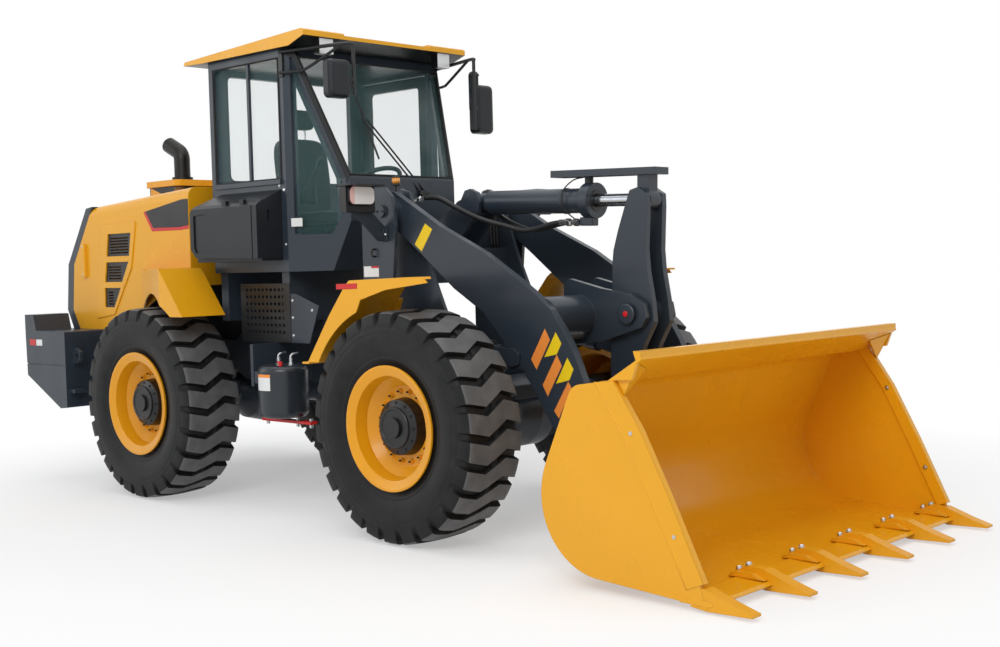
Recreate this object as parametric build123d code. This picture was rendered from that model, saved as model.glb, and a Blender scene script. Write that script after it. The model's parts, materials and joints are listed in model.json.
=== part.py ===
from build123d import *
import os
from math import pi, tan

# Wheel loader, millimetres. Every piece is drawn with X = 0 at the front axle, +X forward,
# +Y left and Z = 0 on the ground, then moved so that the origin is under the middle of the machine.

# Running gear
WHEELBASE = 2650
TRACK = 1850
TYRE_R = 675
TYRE_W = 445
RIM_R = 317
FLANGE_R = 362
SPINDLE_R = 60
BEAD_HALF = 178
LUGS = 26
LUG_DEPTH = 28
# Share of the pitch that a lug fills
LUG_SHARE = 0.61
# Half-width share and shift along the tread of a lug's middle line
LUG_SWEEP = ((-1, 0), (-0.33, -28), (0.33, 28), (1, 0))
AXLE_X = {"front": 0, "rear": -WHEELBASE}
HITCH_X = -WHEELBASE / 2
AXLE_PAD_Z = 780
SIDES = {"left": 1, "right": -1}

# Overall reach
BUCKET_TIP_X = 2487
TAIL_X = -4230
SHIFT_X = -(BUCKET_TIP_X + TAIL_X) / 2

# Linkage pins, in X and Z
BOOM_PIN = (-590, 1940)
BUCKET_PIN = (1156, 375)
CRANK_PIN = (975, 1291)
CRANK_TOP = (1022, 1942)
CRANK_FOOT = (865, 610)
LINK_PIN = (1240, 650)
LIFT_BASE = (-720, 1230)
LIFT_EYE = (434, 1051)
TILT_BASE = (-314, 1986)
PIN_R = 40
# Bore radius, rod radius, barrel length, eye radius, head radius
LIFT_SIZES = (60, 35, 965, 68, 66)
TILT_SIZES = (75, 38, 962, 62, 106)
# How far each rod moves in and out from rest
LIFT_TRAVEL = (0, 845)
TILT_TRAVEL = (165, 45)
STEER_TRAVEL = (280, 280)
PIN_GAP = 0.3

# Boom
ARM_Y = 500
ARM_THICK = 50
TOWER_INNER_Y = 430
TOWER_OUTER_Y = 575
TOWER_PLATE = 25

# Bucket
BUCKET_W = 2500
BUCKET_PLATE = 16
TEETH = 6
TOOTH_W = 70

# Cab
CAB_REAR_X = -2270
CAB_PILLAR_X = -1430
CAB_HALF = 690
CAB_FLOOR_Z = 1577
CAB_TOP_Z = 3045
CAB_WALL = 45

# Hood and counterweight
HOOD_HALF = 780
HOOD_PLATE = 12
HOOD_SILL_Z = 1166
HOOD_CAP_Z = 2310
WEIGHT_HALF = 1130
RAIL_Y = 340
RAIL_THICK = 30
TOW_EYE = (-4145, 745)
TOW_R = 25
TOW_THICK = 40
LASH_EYE = (-3580, 980)
LASH_R = 25
LASH_Y = 1030
LASH_THICK = 30


def outline(points, radius=0):
    """A closed face from corner points, with its corners rounded."""
    if radius:
        return make_face(FilletPolyline(*points, radius=radius, close=True))
    return make_face(Polyline(*points, close=True))


def plate(points, y_from, y_to, radius=0):
    """An outline in X and Z, as thick as the span in Y."""
    low, high = min(y_from, y_to), max(y_from, y_to)
    side = Plane(origin=(0, high, 0), x_dir=(1, 0, 0), z_dir=(0, -1, 0))
    return extrude(side * outline(points, radius), amount=high - low)


def slab(points, z_from, z_to, radius=0):
    """An outline in X and Y, as thick as the span in Z."""
    return extrude(Pos(0, 0, z_from) * outline(points, radius), amount=z_to - z_from)


def wall(points, x_from, x_to, radius=0):
    """An outline in Y and Z, as thick as the span in X."""
    front = Plane(origin=(x_from, 0, 0), x_dir=(0, 1, 0), z_dir=(1, 0, 0))
    return extrude(front * outline(points, radius), amount=x_to - x_from)


def block(x_from, x_to, y_from, y_to, z_from, z_to):
    """A box between two values on each axis."""
    place = Pos((x_from + x_to) / 2, (y_from + y_to) / 2, (z_from + z_to) / 2)
    return place * Box(abs(x_to - x_from), abs(y_to - y_from), abs(z_to - z_from))


def bar(start, end, radius):
    """A round bar between two points."""
    start, end = Vector(*start), Vector(*end)
    return extrude(Plane(origin=start, z_dir=end - start) * Circle(radius), amount=(end - start).length)


def pin(place, radius, y_from, y_to):
    """A round bar along Y at a place in X and Z."""
    low, high = min(y_from, y_to), max(y_from, y_to)
    return bar((place[0], low, place[1]), (place[0], high, place[1]), radius)


def post(x, y, radius, z_from, z_to):
    """A round bar along Z."""
    return bar((x, y, z_from), (x, y, z_to), radius)


def pipe(points, radius, bend):
    """A round bar that follows points, with bent corners."""
    path = FilletPolyline(*points, radius=bend)
    return sweep(Plane(origin=path @ 0, z_dir=path % 0) * Circle(radius), path=path)


def both(shape):
    """A shape with its mirror image on the other side of the machine."""
    return shape + mirror(shape, about=Plane.XZ)


def join(shapes):
    """One shape from many."""
    first, *rest = shapes
    for shape in rest:
        first = first + shape
    return first


def distance(start, end):
    """The distance between two places."""
    return ((end[0] - start[0]) ** 2 + (end[1] - start[1]) ** 2) ** 0.5


def along(start, end, run, offset=0):
    """A point in X and Z at a distance along a line, and offset to its upper side."""
    length = distance(start, end)
    ux, uz = (end[0] - start[0]) / length, (end[1] - start[1]) / length
    return (start[0] + ux * run - uz * offset, start[1] + uz * run + ux * offset)


# Wheels


def tyre():
    """A tyre over the origin. Each sector of the casing is flat-sided and carries one lug of the tread."""
    half, base = TYRE_W / 2, TYRE_R - LUG_DEPTH
    side = ((BEAD_HALF, RIM_R + 0.3), (BEAD_HALF, FLANGE_R - 14), (half, 510), (half - 46, base))
    section = [(-a, TYRE_R - r) for a, r in side] + [(a, TYRE_R - r) for a, r in reversed(side)]
    spread = TYRE_R * tan(pi / LUGS)
    sector = wall(section, -spread, spread) & plate(((0, TYRE_R), (-spread, 0), (spread, 0)), -half, half)
    land = LUG_SHARE * pi * TYRE_R / LUGS
    edge = [(shift + land, share * (half - 10)) for share, shift in LUG_SWEEP]
    edge = edge + [(shift - land, share * (half - 10)) for share, shift in reversed(LUG_SWEEP)]
    tooth = sector + slab(edge, 0, TYRE_R - 560)
    middle = Axis((0, 0, TYRE_R), (0, 1, 0))
    return join([tooth.rotate(middle, 360 / LUGS * n) for n in range(LUGS)])


def turned(section, x, y):
    """A ring about an axle: the section gives radius and distance along Y."""
    face = outline([(radius, across) for radius, across in section])
    ring = revolve(face, axis=Axis.Y)
    return Pos(x, y, TYRE_R) * ring


def rim(x, y, side):
    """A rim with its dished disc, and the hub in its middle."""
    lip = BEAD_HALF + 0.3
    barrel = ((290, -120), (300, -185), (350, -205), (FLANGE_R, -205), (FLANGE_R, -196), (345, -lip), (RIM_R, -lip),
              (RIM_R, lip), (345, lip), (FLANGE_R, 196), (FLANGE_R, 209), (350, 209), (300, 190), (290, 120))
    disc = ((80, 60), (235, 60), (290, 110), (290, 90), (240, 40), (80, 40))
    hub = ((SPINDLE_R + PIN_GAP, -262), (150, -262), (165, -200), (165, 60), (168, 60), (160, 130), (120, 150),
           (60, 152), (58, 175), (0, 175), (0, -180), (SPINDLE_R + PIN_GAP, -180))
    pieces = [turned([(r, side * a) for r, a in rows], x, y) for rows in (barrel, disc, hub)]
    return join(pieces)


# Front frame, with the towers that carry the boom


def front_frame():
    rails = both(plate(
        ((-1130, 520), (-900, 480), (-460, 480), (-330, AXLE_PAD_Z), (260, AXLE_PAD_Z), (260, 860), (-300, 1000),
         (-1130, 1100)),
        RAIL_Y - RAIL_THICK, RAIL_Y))
    floor = block(-900, -460, -RAIL_Y + RAIL_THICK, RAIL_Y - RAIL_THICK, 480, 505)
    nose = block(235, 260, -RAIL_Y + RAIL_THICK, RAIL_Y - RAIL_THICK, AXLE_PAD_Z, 860)
    rear = block(-1130, -1100, -RAIL_Y + RAIL_THICK, RAIL_Y - RAIL_THICK, 540, 1098)
    rear = rear - bar((-1140, 0, 800), (-1090, 0, 800), 110)
    tongues = join(
        [slab(((-1100, 160), (-1300, 90), (HITCH_X, 90), (HITCH_X, -90), (-1300, -90), (-1100, -160)), z, z + 40)
         + post(HITCH_X, 0, 90, z, z + 40) - post(HITCH_X, 0, 35 + PIN_GAP, z - 1, z + 41)
         for z in (555, 1020)])
    inner = both(plate(
        ((-786, 900), (-786, 1900), (-600, 2085), (-520, 2060), (-380, 1650), (-60, 950), (-100, 900)),
        TOWER_INNER_Y - TOWER_PLATE, TOWER_INNER_Y))
    outer = both(plate(
        ((-786, 1010), (-786, 1990), (-700, 2088), (-560, 2088), (-500, 2030), (-470, 1850), (-560, 1010)),
        TOWER_OUTER_Y, TOWER_OUTER_Y + TOWER_PLATE))
    shelf = both(block(-786, -100, RAIL_Y - RAIL_THICK, TOWER_INNER_Y - TOWER_PLATE, 900, 925))
    foot = both(block(-786, -560, TOWER_INNER_Y, TOWER_OUTER_Y, 1010, 1035))
    pins = both(pin(BOOM_PIN, PIN_R, TOWER_INNER_Y - TOWER_PLATE - 20, TOWER_OUTER_Y + TOWER_PLATE + 20)
                + pin(LIFT_BASE, PIN_R, TOWER_INNER_Y - TOWER_PLATE, TOWER_OUTER_Y + TOWER_PLATE + 10))
    bridge = block(-786, -480, -TOWER_INNER_Y + TOWER_PLATE, TOWER_INNER_Y - TOWER_PLATE, 1480, 1700)
    cheeks = both(plate(
        ((-700, 1690), (-700, 1830), (-395, 2010), (-360, 2065), (-314, 2075), (-255, 2050), (-230, 1990),
         (-250, 1920), (-480, 1690)),
        66, 96))
    tilt_pin = pin(TILT_BASE, PIN_R, -96, 96)
    return join([rails, floor, nose, rear, tongues, inner, outer, shelf, foot, pins, bridge, cheeks, tilt_pin])


def axle(x, side_x):
    """An axle housing: a differential in the middle, arms, and the flanges by the wheels."""
    arm = ((0, -735), (SPINDLE_R, -735), (SPINDLE_R, -645), (150, -645), (150, -600), (100, -570), (90, -300),
           (190, -200), (225, -60), (225, 60), (190, 200), (90, 300), (100, 570), (150, 600), (150, 645),
           (SPINDLE_R, 645), (SPINDLE_R, 735), (0, 735))
    housing = turned(arm, x, 0)
    nose = bar((x, 0, TYRE_R), (x + side_x * 330, 0, TYRE_R), 80)
    pads = both(block(x - 90, x + 90, RAIL_Y - RAIL_THICK, RAIL_Y + RAIL_THICK, TYRE_R, AXLE_PAD_Z))
    return housing + nose + pads


# Boom, crank and link


def boom():
    arm = plate(
        ((-612, 2069), (-557, 2060), (-152, 1830), (216, 1663), (485, 1500), (607, 1419), (719, 1333),
         (804, 1224), (879, 1105), (952, 939), (1040, 640), (1215, 430), (1215, 330), (1110, 305),
         (721, 665), (602, 837), (500, 985), (395, 985), (380, 1110), (199, 1308), (-50, 1456), (-328, 1670),
         (-521, 1807), (-640, 1840), (-700, 1900), (-700, 1990)),
        ARM_Y - ARM_THICK / 2, ARM_Y + ARM_THICK / 2, radius=12)
    boss = pin(BOOM_PIN, 95, ARM_Y - 60, ARM_Y + 60)
    tip = pin(BUCKET_PIN, 80, ARM_Y - 40, ARM_Y + 40)
    arms = arm + boss + tip
    arms = arms - pin(BOOM_PIN, PIN_R + PIN_GAP, 400, 600) - pin(BUCKET_PIN, PIN_R + PIN_GAP, 400, 600)
    tube = pin((600, 1270), 130, -ARM_Y + ARM_THICK / 2, ARM_Y - ARM_THICK / 2)
    cheek = plate(
        ((495, 1465), (531, 1497), (777, 1437), (995, 1404), (1086, 1348), (1102, 1269), (1061, 1212),
         (768, 1126), (577, 1110), (480, 1180)), 101, 141, radius=20)
    crank_pin = pin(CRANK_PIN, PIN_R, -160, 160)
    return both(arms) + tube + both(cheek) + crank_pin


def crank():
    cheek = plate(
        ((965, 1996), (1022, 2010), (1082, 1973), (1084, 1905), (1070, 1652), (1078, 1538), (1108, 1368),
         (1120, 1240), (1045, 1113), (970, 950), (935, 640), (920, 550), (830, 535), (790, 600), (800, 950),
         (810, 1200), (824, 1443), (828, 1571), (839, 1657), (876, 1772), (931, 1913)),
        56, 95, radius=15)
    hub = pin(CRANK_PIN, 85, -56, 56)
    return both(cheek) + hub - pin(CRANK_PIN, PIN_R + PIN_GAP, -100, 100)


def bucket_link():
    body = plate((along(CRANK_FOOT, LINK_PIN, 0, 50), along(CRANK_FOOT, LINK_PIN, 0, -50),
                  along(LINK_PIN, CRANK_FOOT, 0, 50), along(LINK_PIN, CRANK_FOOT, 0, -50)), -45, 45)
    ends = pin(CRANK_FOOT, 65, -50, 50) + pin(LINK_PIN, 62, -50, 50)
    return body + ends - pin(LINK_PIN, PIN_R + PIN_GAP, -60, 60)


# Cylinders


def cylinder(base, eye, y, sizes, travel, rod_short):
    """The barrel and the rod between two pins in X and Z. Travel is how far the rod moves in and out from rest."""
    bore_r, rod_r, barrel_length, eye_r, head_r = sizes
    inward, outward = travel

    def on_line(run):
        x, z = along(base, eye, run)
        return (x, y, z)

    rod_from = barrel_length - outward - 30
    barrel = pin(base, eye_r, y - bore_r * 0.8, y + bore_r * 0.8) - pin(base, PIN_R + PIN_GAP, y - 200, y + 200)
    tube = bar(on_line(eye_r - 8), on_line(eye_r + 50), bore_r * 0.78)
    tube = tube + bar(on_line(eye_r + 40), on_line(barrel_length), bore_r)
    tube = tube + bar(on_line(barrel_length - 70), on_line(barrel_length), head_r)
    tube = tube - bar(on_line(rod_from - inward - 10), on_line(barrel_length + 1), rod_r + 0.5)
    rod = bar(on_line(rod_from), on_line(distance(base, eye) - rod_short), rod_r)
    return barrel + tube, rod


def lift_cylinder(side):
    """A boom lift cylinder. Its rod ends in a fork that straddles the arm."""
    y = side * ARM_Y
    length = distance(LIFT_BASE, LIFT_EYE)
    crotch = length - 160
    barrel, rod = cylinder(LIFT_BASE, LIFT_EYE, y, LIFT_SIZES, LIFT_TRAVEL, length - crotch + 30)
    yoke = plate([along(LIFT_BASE, LIFT_EYE, d, o) for d, o in
                  ((crotch - 30, -40), (crotch, -40), (crotch, 40), (crotch - 30, 40))], y - 45, y + 45)
    cheeks = join([
        plate([along(LIFT_BASE, LIFT_EYE, d, o) for d, o in
               ((crotch, -40), (length, -55), (length + 50, -30), (length + 50, 30), (length, 55), (crotch, 40))],
              y + low, y + low + 14)
        for low in (-45, 31)])
    return barrel, rod + yoke + cheeks


def tilt_cylinder():
    """The bucket tilt cylinder, with the level guard that rides on its rod."""
    length = distance(TILT_BASE, CRANK_TOP)
    eye_r = TILT_SIZES[3]
    barrel, rod = cylinder(TILT_BASE, CRANK_TOP, 0, TILT_SIZES, TILT_TRAVEL, eye_r - 8)
    eye = pin(CRANK_TOP, eye_r, -50, 50)
    guard_post = plate([along(TILT_BASE, CRANK_TOP, length + d, o) for d, o in
                        ((-45, 40), (40, 40), (40, 140), (-45, 140))], -40, 40)
    channel = plate([along(TILT_BASE, CRANK_TOP, length + d, o) for d, o in
                     ((-684, 140), (98, 140), (98, 182), (-684, 182))], -65, 65)
    hollow = plate([along(TILT_BASE, CRANK_TOP, length + d, o) for d, o in
                    ((-680, 130), (-46, 130), (-46, 174), (-680, 174))], -57, 57)
    return barrel, rod + eye + guard_post + (channel - hollow)


STEER_BASE = (-2000, 460)
STEER_EYE = (-950, 460)
STEER_Z = 740
STEER_BARREL_R = 42
STEER_ROD_R = 25
STEER_PIN_R = 20


def steer_cylinder(side):
    y = side * STEER_BASE[1]
    x0, x1 = STEER_BASE[0], STEER_EYE[0]
    head = x0 + 655
    rod_from = head - STEER_TRAVEL[1] - 20
    barrel = post(x0, y, 45, STEER_Z - 36, STEER_Z + 36)
    barrel = barrel + bar((x0 + 30, y, STEER_Z), (head, y, STEER_Z), STEER_BARREL_R)
    barrel = barrel - post(x0, y, STEER_PIN_R + PIN_GAP, STEER_Z - 60, STEER_Z + 60)
    barrel = barrel - bar((rod_from - STEER_TRAVEL[0] - 5, y, STEER_Z), (head + 1, y, STEER_Z), STEER_ROD_R + 0.5)
    rod = bar((rod_from, y, STEER_Z), (x1 - 30, y, STEER_Z), STEER_ROD_R) + post(x1, y, 42, STEER_Z - 34, STEER_Z + 34)
    return barrel, rod


def steer_ears(x, side, pinned):
    """Two ears over and under a steering cylinder's eye."""
    y = side * STEER_BASE[1]
    inner = side * RAIL_Y
    ears = join([block(x - 55, x + 55, inner, y + side * 55, z, z + 15) for z in (STEER_Z - 60, STEER_Z + 45)])
    if pinned:
        ears = ears + post(x, y, STEER_PIN_R, STEER_Z - 60, STEER_Z + 60)
        ears = ears + block(x - 75, x - 55, inner, y + side * 55, STEER_Z - 60, STEER_Z + 60)
    return ears


# Rear frame


# The perforated panel under the cab, in X and Z
GUARD = ((-2030, 1500), (-1480, 1500), (-1480, 1100), (-2030, 1100))


def rear_frame():
    rails = both(plate(
        ((-4060, 800), (-2900, 800), (-2800, 860), (-2500, 860), (-2400, 800), (-1640, 800), (-1640, 1120),
         (-1480, 1120), (-1480, 1240), (-2300, 1240), (-2500, 1080), (-4060, 1080)), RAIL_Y, RAIL_Y + RAIL_THICK))
    front = block(-1670, -1640, -RAIL_Y, RAIL_Y, 800, 1240) + block(-1670, -1640, -290, 290, 500, 801)
    front = front - bar((-1680, 0, 800), (-1630, 0, 800), 120)
    forks = join(
        [slab(((-1640, 200), (-1360, 110), (HITCH_X, 110), (HITCH_X, -110), (-1360, -110), (-1640, -200)), z, z + 30)
         + post(HITCH_X, 0, 110, z, z + 30) for z in (519, 601, 984, 1066)])
    hitch_pins = post(HITCH_X, 0, 35, 519, 631) + post(HITCH_X, 0, 35, 984, 1096)
    beams = join([block(x, x + 80, -RAIL_Y - RAIL_THICK - 280, RAIL_Y + RAIL_THICK + 280, 1240, 1577)
                  for x in (-2260, -1560)])
    hangers = both(block(-2730, -2570, RAIL_Y, RAIL_Y + RAIL_THICK, AXLE_PAD_Z, 861))
    tank_bracket = block(-1660, -1630, -860, -RAIL_Y - RAIL_THICK, 820, 1100)
    cross = block(-2890, -2840, -RAIL_Y, RAIL_Y, 900, 1060)
    ears = steer_ears(STEER_BASE[0], 1, True) + steer_ears(STEER_BASE[0], -1, True)
    beam_end = RAIL_Y + RAIL_THICK + 280
    guard = plate(GUARD, -beam_end - 4, -beam_end)
    holes = join([block(x, x + 24, -beam_end - 10, -beam_end + 10, z, z + 18)
                  for x in range(GUARD[0][0] + 60, GUARD[1][0] - 60, 45)
                  for z in range(GUARD[2][1] + 60, GUARD[0][1] - 40, 48)])
    side_plate = plate(((-1478, 1430), (-1420, 1430), (-1180, 1350), (-1290, 1100), (-1478, 1100)),
                       -beam_end, -beam_end + 8)
    carrier = block(-1490, -1470, -beam_end, -beam_end + 40, 1100, 1300)
    return join([rails, front, forks, hitch_pins, beams, hangers, cross, ears, tank_bracket, guard - holes,
                 side_plate, carrier])


def counterweight():
    side = plate(((-3626, HOOD_SILL_Z), (-3626, 590), (-3723, 581), (TAIL_X + 11, 818), (TAIL_X, HOOD_SILL_Z)),
                 -WEIGHT_HALF, WEIGHT_HALF, radius=10)
    bay = block(-4060, -3600, -620, 620, 500, 1300)
    tow_lug = plate(((-4215, 860), (-4215, 760), (-4175, TOW_EYE[1] - 45), (-4115, TOW_EYE[1] - 45), (-4080, 760),
                     (-4080, 860)), -TOW_THICK / 2, TOW_THICK / 2)
    tow_lug = tow_lug - pin(TOW_EYE, TOW_R, -50, 50)
    lashing = plate(((-3630, 920), (-3590, 920), (-3535, 950), (-3535, 1010), (-3590, 1040), (-3630, 1040)),
                    LASH_Y, LASH_Y + LASH_THICK)
    lashing = both(lashing - pin(LASH_EYE, LASH_R, LASH_Y - 10, LASH_Y + LASH_THICK + 10))
    wall_top = both(plate(((TAIL_X, HOOD_SILL_Z), (TAIL_X, 1290), (-4100, 1290), (-4060, HOOD_SILL_Z)), 830, WEIGHT_HALF))
    rungs = both(block(-3626, -3560, 1000, 1100, 700, 730))
    seam = both(plate(((-3600, 905), (TAIL_X - 10, 905), (TAIL_X - 10, 913), (-3600, 913)), WEIGHT_HALF - 6,
                      WEIGHT_HALF + 10))
    return side - bay - seam + wall_top + rungs + tow_lug + lashing


def hood_profile(inset):
    """The hood's side outline, drawn in by the inset."""
    return ((-3760 + inset, 2115 - inset), (-2440 - inset, 2198 - inset), (-2440 - inset, 1617),
            (-2440 - inset, 1500), (-3300, HOOD_SILL_Z), (-4010 + inset, HOOD_SILL_Z), (-4105 + inset, 1315),
            (-4066 + inset, 1674))


def engine_hood():
    shell = plate(hood_profile(0), -HOOD_HALF, HOOD_HALF)
    long_edges = [e for e in shell.edges().filter_by(GeomType.LINE)
                  if e.center().Z > 2100 and e.length > 1000 and abs(abs(e.center().Y) - HOOD_HALF) < 1]
    shell = fillet(long_edges, 70)
    inside = plate(((-3720, 2085), (-2460, 2165), (-2460, 1100), (-4060, 1100), (-4060, 1500)),
                   -HOOD_HALF + HOOD_PLATE, HOOD_HALF - HOOD_PLATE, radius=60)
    hollow = shell - inside
    arch = pin((AXLE_X["rear"], TYRE_R), TYRE_R + 90, -900, 900)
    hollow = hollow - arch
    windows = join([both(plate(rows, HOOD_HALF - 40, HOOD_HALF + 40)) for rows in louvre_rows()])
    gasket = slab(((-3700, 120), (-3270, 120), (-3270, -320), (-3700, -320)), 2100, HOOD_CAP_Z - 47, radius=50)
    cap = slab(((-3720, 140), (-3250, 140), (-3250, -340), (-3720, -340)), HOOD_CAP_Z - 48, HOOD_CAP_Z, radius=60)
    border = plate(((-3630, 1968), (-3134, 1985), (-3216, 1635), (-3477, 1282), (-3750, 1249)),
                   HOOD_HALF - 1, HOOD_HALF + 9, radius=20)
    grip = block(-3915, -3865, HOOD_HALF - 1, HOOD_HALF + 26, 1570, 1830)
    grip = fillet(grip.edges().filter_by(Axis.Z).group_by(Axis.Y)[-1], 12)
    return hollow + both(border) - windows + (gasket - inside) + cap + both(grip)


def louvre_rows():
    """The three windows in the hood's side."""
    # Low Z, high Z, then X at the rear top, front top, front low and rear low corners
    rows = ((1725, 1895, -3533, -3206, -3238, -3560), (1530, 1680, -3567, -3251, -3349, -3596),
            (1336, 1484, -3603, -3373, -3472, -3610))
    return [((rear_top, high), (front_top, high), (front_low, low), (rear_low, low))
            for low, high, rear_top, front_top, front_low, rear_low in rows]


def side_louvres():
    slats = []
    for rows in louvre_rows():
        low, high = rows[2][1], rows[0][1]
        frame = plate(rows, HOOD_HALF - HOOD_PLATE, HOOD_HALF - 2)
        slots = [block(rows[3][0] + 45, rows[2][0] - 25, HOOD_HALF - 50, HOOD_HALF + 50, z, z + 10)
                 for z in range(int(low) + 20, int(high) - 24, 22)]
        slats.append(both(frame - join(slots)))
    return join(slats)


def rear_grille():
    rim_outline = ((-3760, 2115), (-3852, 2105), (-4156, 1674), (-4195, 1315), (-4110, HOOD_SILL_Z),
                   (-4010, HOOD_SILL_Z), (-4105, 1315), (-4066, 1674))
    surround = plate(rim_outline, -HOOD_HALF, HOOD_HALF)
    opening = block(-4300, -3700, -560, 560, 1330, 1980)
    slats = join([block(-4160 + shift, -4130 + shift, -565, 565, z, z + 16)
                  for z, shift in ((1340 + 32 * n, max(0, 32 * n - 300) * 0.68) for n in range(20))])
    return surround - opening + (slats & plate(rim_outline, -600, 600))


def rear_fender(inset):
    """A rear fender's outer form: flared out from the hood, with a sloped front. The inset draws it in."""
    k = inset
    plan = ((-3090 + 2 * k, HOOD_HALF - k), (-2310, 1130 - 1.3 * k), (-2040 - k, 1130 - 1.3 * k),
            (-2040 - k, HOOD_HALF - k))
    side = ((-3100, 1250 - k), (-3100, 1620 - k), (-2310 - 0.3 * k, 1620 - k), (-2040 - 1.3 * k, 1290 - k),
            (-2040 - 1.3 * k, 1250 - k))
    return slab(plan, 1000, 2000) & plate(side, 0, 2000)


def rear_fenders():
    shell = rear_fender(0) - rear_fender(8) - pin((AXLE_X["rear"], TYRE_R), TYRE_R + 95, 0, 2000)
    shell = shell - block(-3200, -2000, 700, 1300, 1200, 1290)
    return both(shell)


# Cab

SEAL = 14
GLASS = 6


CAB_PLAN = ((CAB_REAR_X, CAB_HALF), (CAB_PILLAR_X, CAB_HALF), (-1032, 476), (-1032, -476),
            (CAB_PILLAR_X, -CAB_HALF), (CAB_REAR_X, -CAB_HALF))
CAB_SIDE = ((CAB_REAR_X, CAB_FLOOR_Z), (-1150, CAB_FLOOR_Z), (-1032, 1900), (-1032, 2180), (-1360, CAB_TOP_Z),
            (CAB_REAR_X, CAB_TOP_Z))


def cab_solid(inset):
    """The cab's outer form, drawn in by the inset all round."""
    plan, side = outline(CAB_PLAN), outline(CAB_SIDE)
    if inset:
        plan = offset(plan, -inset, kind=Kind.INTERSECTION)
        side = offset(side, -inset, kind=Kind.INTERSECTION)
    across = Plane(origin=(0, 1000, 0), x_dir=(1, 0, 0), z_dir=(0, -1, 0))
    return extrude(Pos(0, 0, 1000) * plan, amount=3000) & extrude(across * side, amount=2000)


def window_tools():
    """The window openings: name, and the block that cuts each."""
    front = wall(((-476 + SEAL, 2205), (476 - SEAL, 2205), (640 - SEAL, 2985), (-640 + SEAL, 2985)),
                 -1480, -900, radius=30)
    quarter = plate(((-1385, 1820), (-1150, 1820), (-1075, 1960), (-1054, 2190), (-1360, 2985), (-1385, 2985)),
                    300, 800, radius=9)
    quarter = quarter & wall(((476 + SEAL, 1800), (476 + SEAL, 2180), (652 + SEAL, 3045), (800, 3045), (800, 1800)),
                             -1400, -1000)
    side = plate(((-2210, 2190), (-1480, 2190), (-1480, 2985), (-2210, 2985)), -800, -600, radius=40)
    rear = wall(((-560, 2230), (560, 2230), (560, 2960), (-560, 2960)), -2400, -2150, radius=40)
    return {"front": front, "quarter": both(quarter), "side": side, "rear": rear}


DOOR = ((-2190, 1640), (-1480, 1640), (-1480, 2985), (-2190, 2985))


HINGE = (-2187, CAB_HALF + 15)
HINGE_Z = (1800, 2800)
HINGE_PIN_R = 8


def hinge_leaf(z, way):
    """A knuckle and its strap: forward of the hinge on the door, behind it on the frame."""
    low, high = (z - 39, z) if way > 0 else (z - 80, z - 41)
    knuckle = post(*HINGE, 14, low, high)
    strap = block(HINGE[0] + way * 4, HINGE[0] + way * 70, CAB_HALF, CAB_HALF + 8, low, high)
    if way > 0:
        return knuckle + strap - post(*HINGE, HINGE_PIN_R + PIN_GAP, low - 1, high + 1)
    return knuckle + strap + post(*HINGE, HINGE_PIN_R, low, z + 8)


def cab_frame():
    shell = cab_solid(0) - cab_solid(CAB_WALL)
    for tool in window_tools().values():
        shell = shell - tool
    doorway = plate(DOOR, 600, 800)
    divider = block(-1832, -1808, -CAB_HALF, -CAB_HALF + CAB_WALL / 2 - GLASS / 2, 2180, 2990)
    sill = plate(((-2225, 2160), (-1470, 2160), (-1470, 2192), (-2225, 2192)), -CAB_HALF - 18, -CAB_HALF + 5, radius=8)
    return shell - doorway + divider + sill + join([hinge_leaf(z, -1) for z in HINGE_Z])


def cab_glass():
    sheet = cab_solid(CAB_WALL / 2 - GLASS / 2) - cab_solid(CAB_WALL / 2 + GLASS / 2)
    tools = window_tools()
    return [(sheet & tools[name]) for name in ("front", "quarter", "side", "rear")]


def cab_door():
    leaf = plate(((-2184, 1646), (-1486, 1646), (-1486, 2979), (-2184, 2979)), CAB_HALF - 40, CAB_HALF, radius=20)
    leaf = leaf - plate(((-2110, 1900), (-1556, 1900), (-1556, 2905), (-2110, 2905)), 600, 800, radius=30)
    glass = plate(((-2110, 1900), (-1556, 1900), (-1556, 2905), (-2110, 2905)), CAB_HALF - 24, CAB_HALF - 18, radius=30)
    handle = block(-1570, -1540, CAB_HALF, CAB_HALF + 25, 1740, 1860)
    hinges = join([hinge_leaf(z, 1) for z in HINGE_Z])
    return leaf + handle + hinges, glass


def cab_roof():
    """The roof: higher at the front, its middle pressed down between two side ribs."""
    side = ((-2505, 3052), (-2490, 3077), (-1165, 3140), (-1145, 3130), (-1145, 3095), (-1300, CAB_TOP_Z),
            (-2300, CAB_TOP_Z))
    body = plate(side, -735, 735)
    middle = plate(((-2450, 3059), (-1100, 3123), (-1100, 3200), (-2450, 3200)), -390, 390)
    lamps = both(block(-1225, -1160, 475, 590, 2992, 3095))
    return body - middle + lamps


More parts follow.
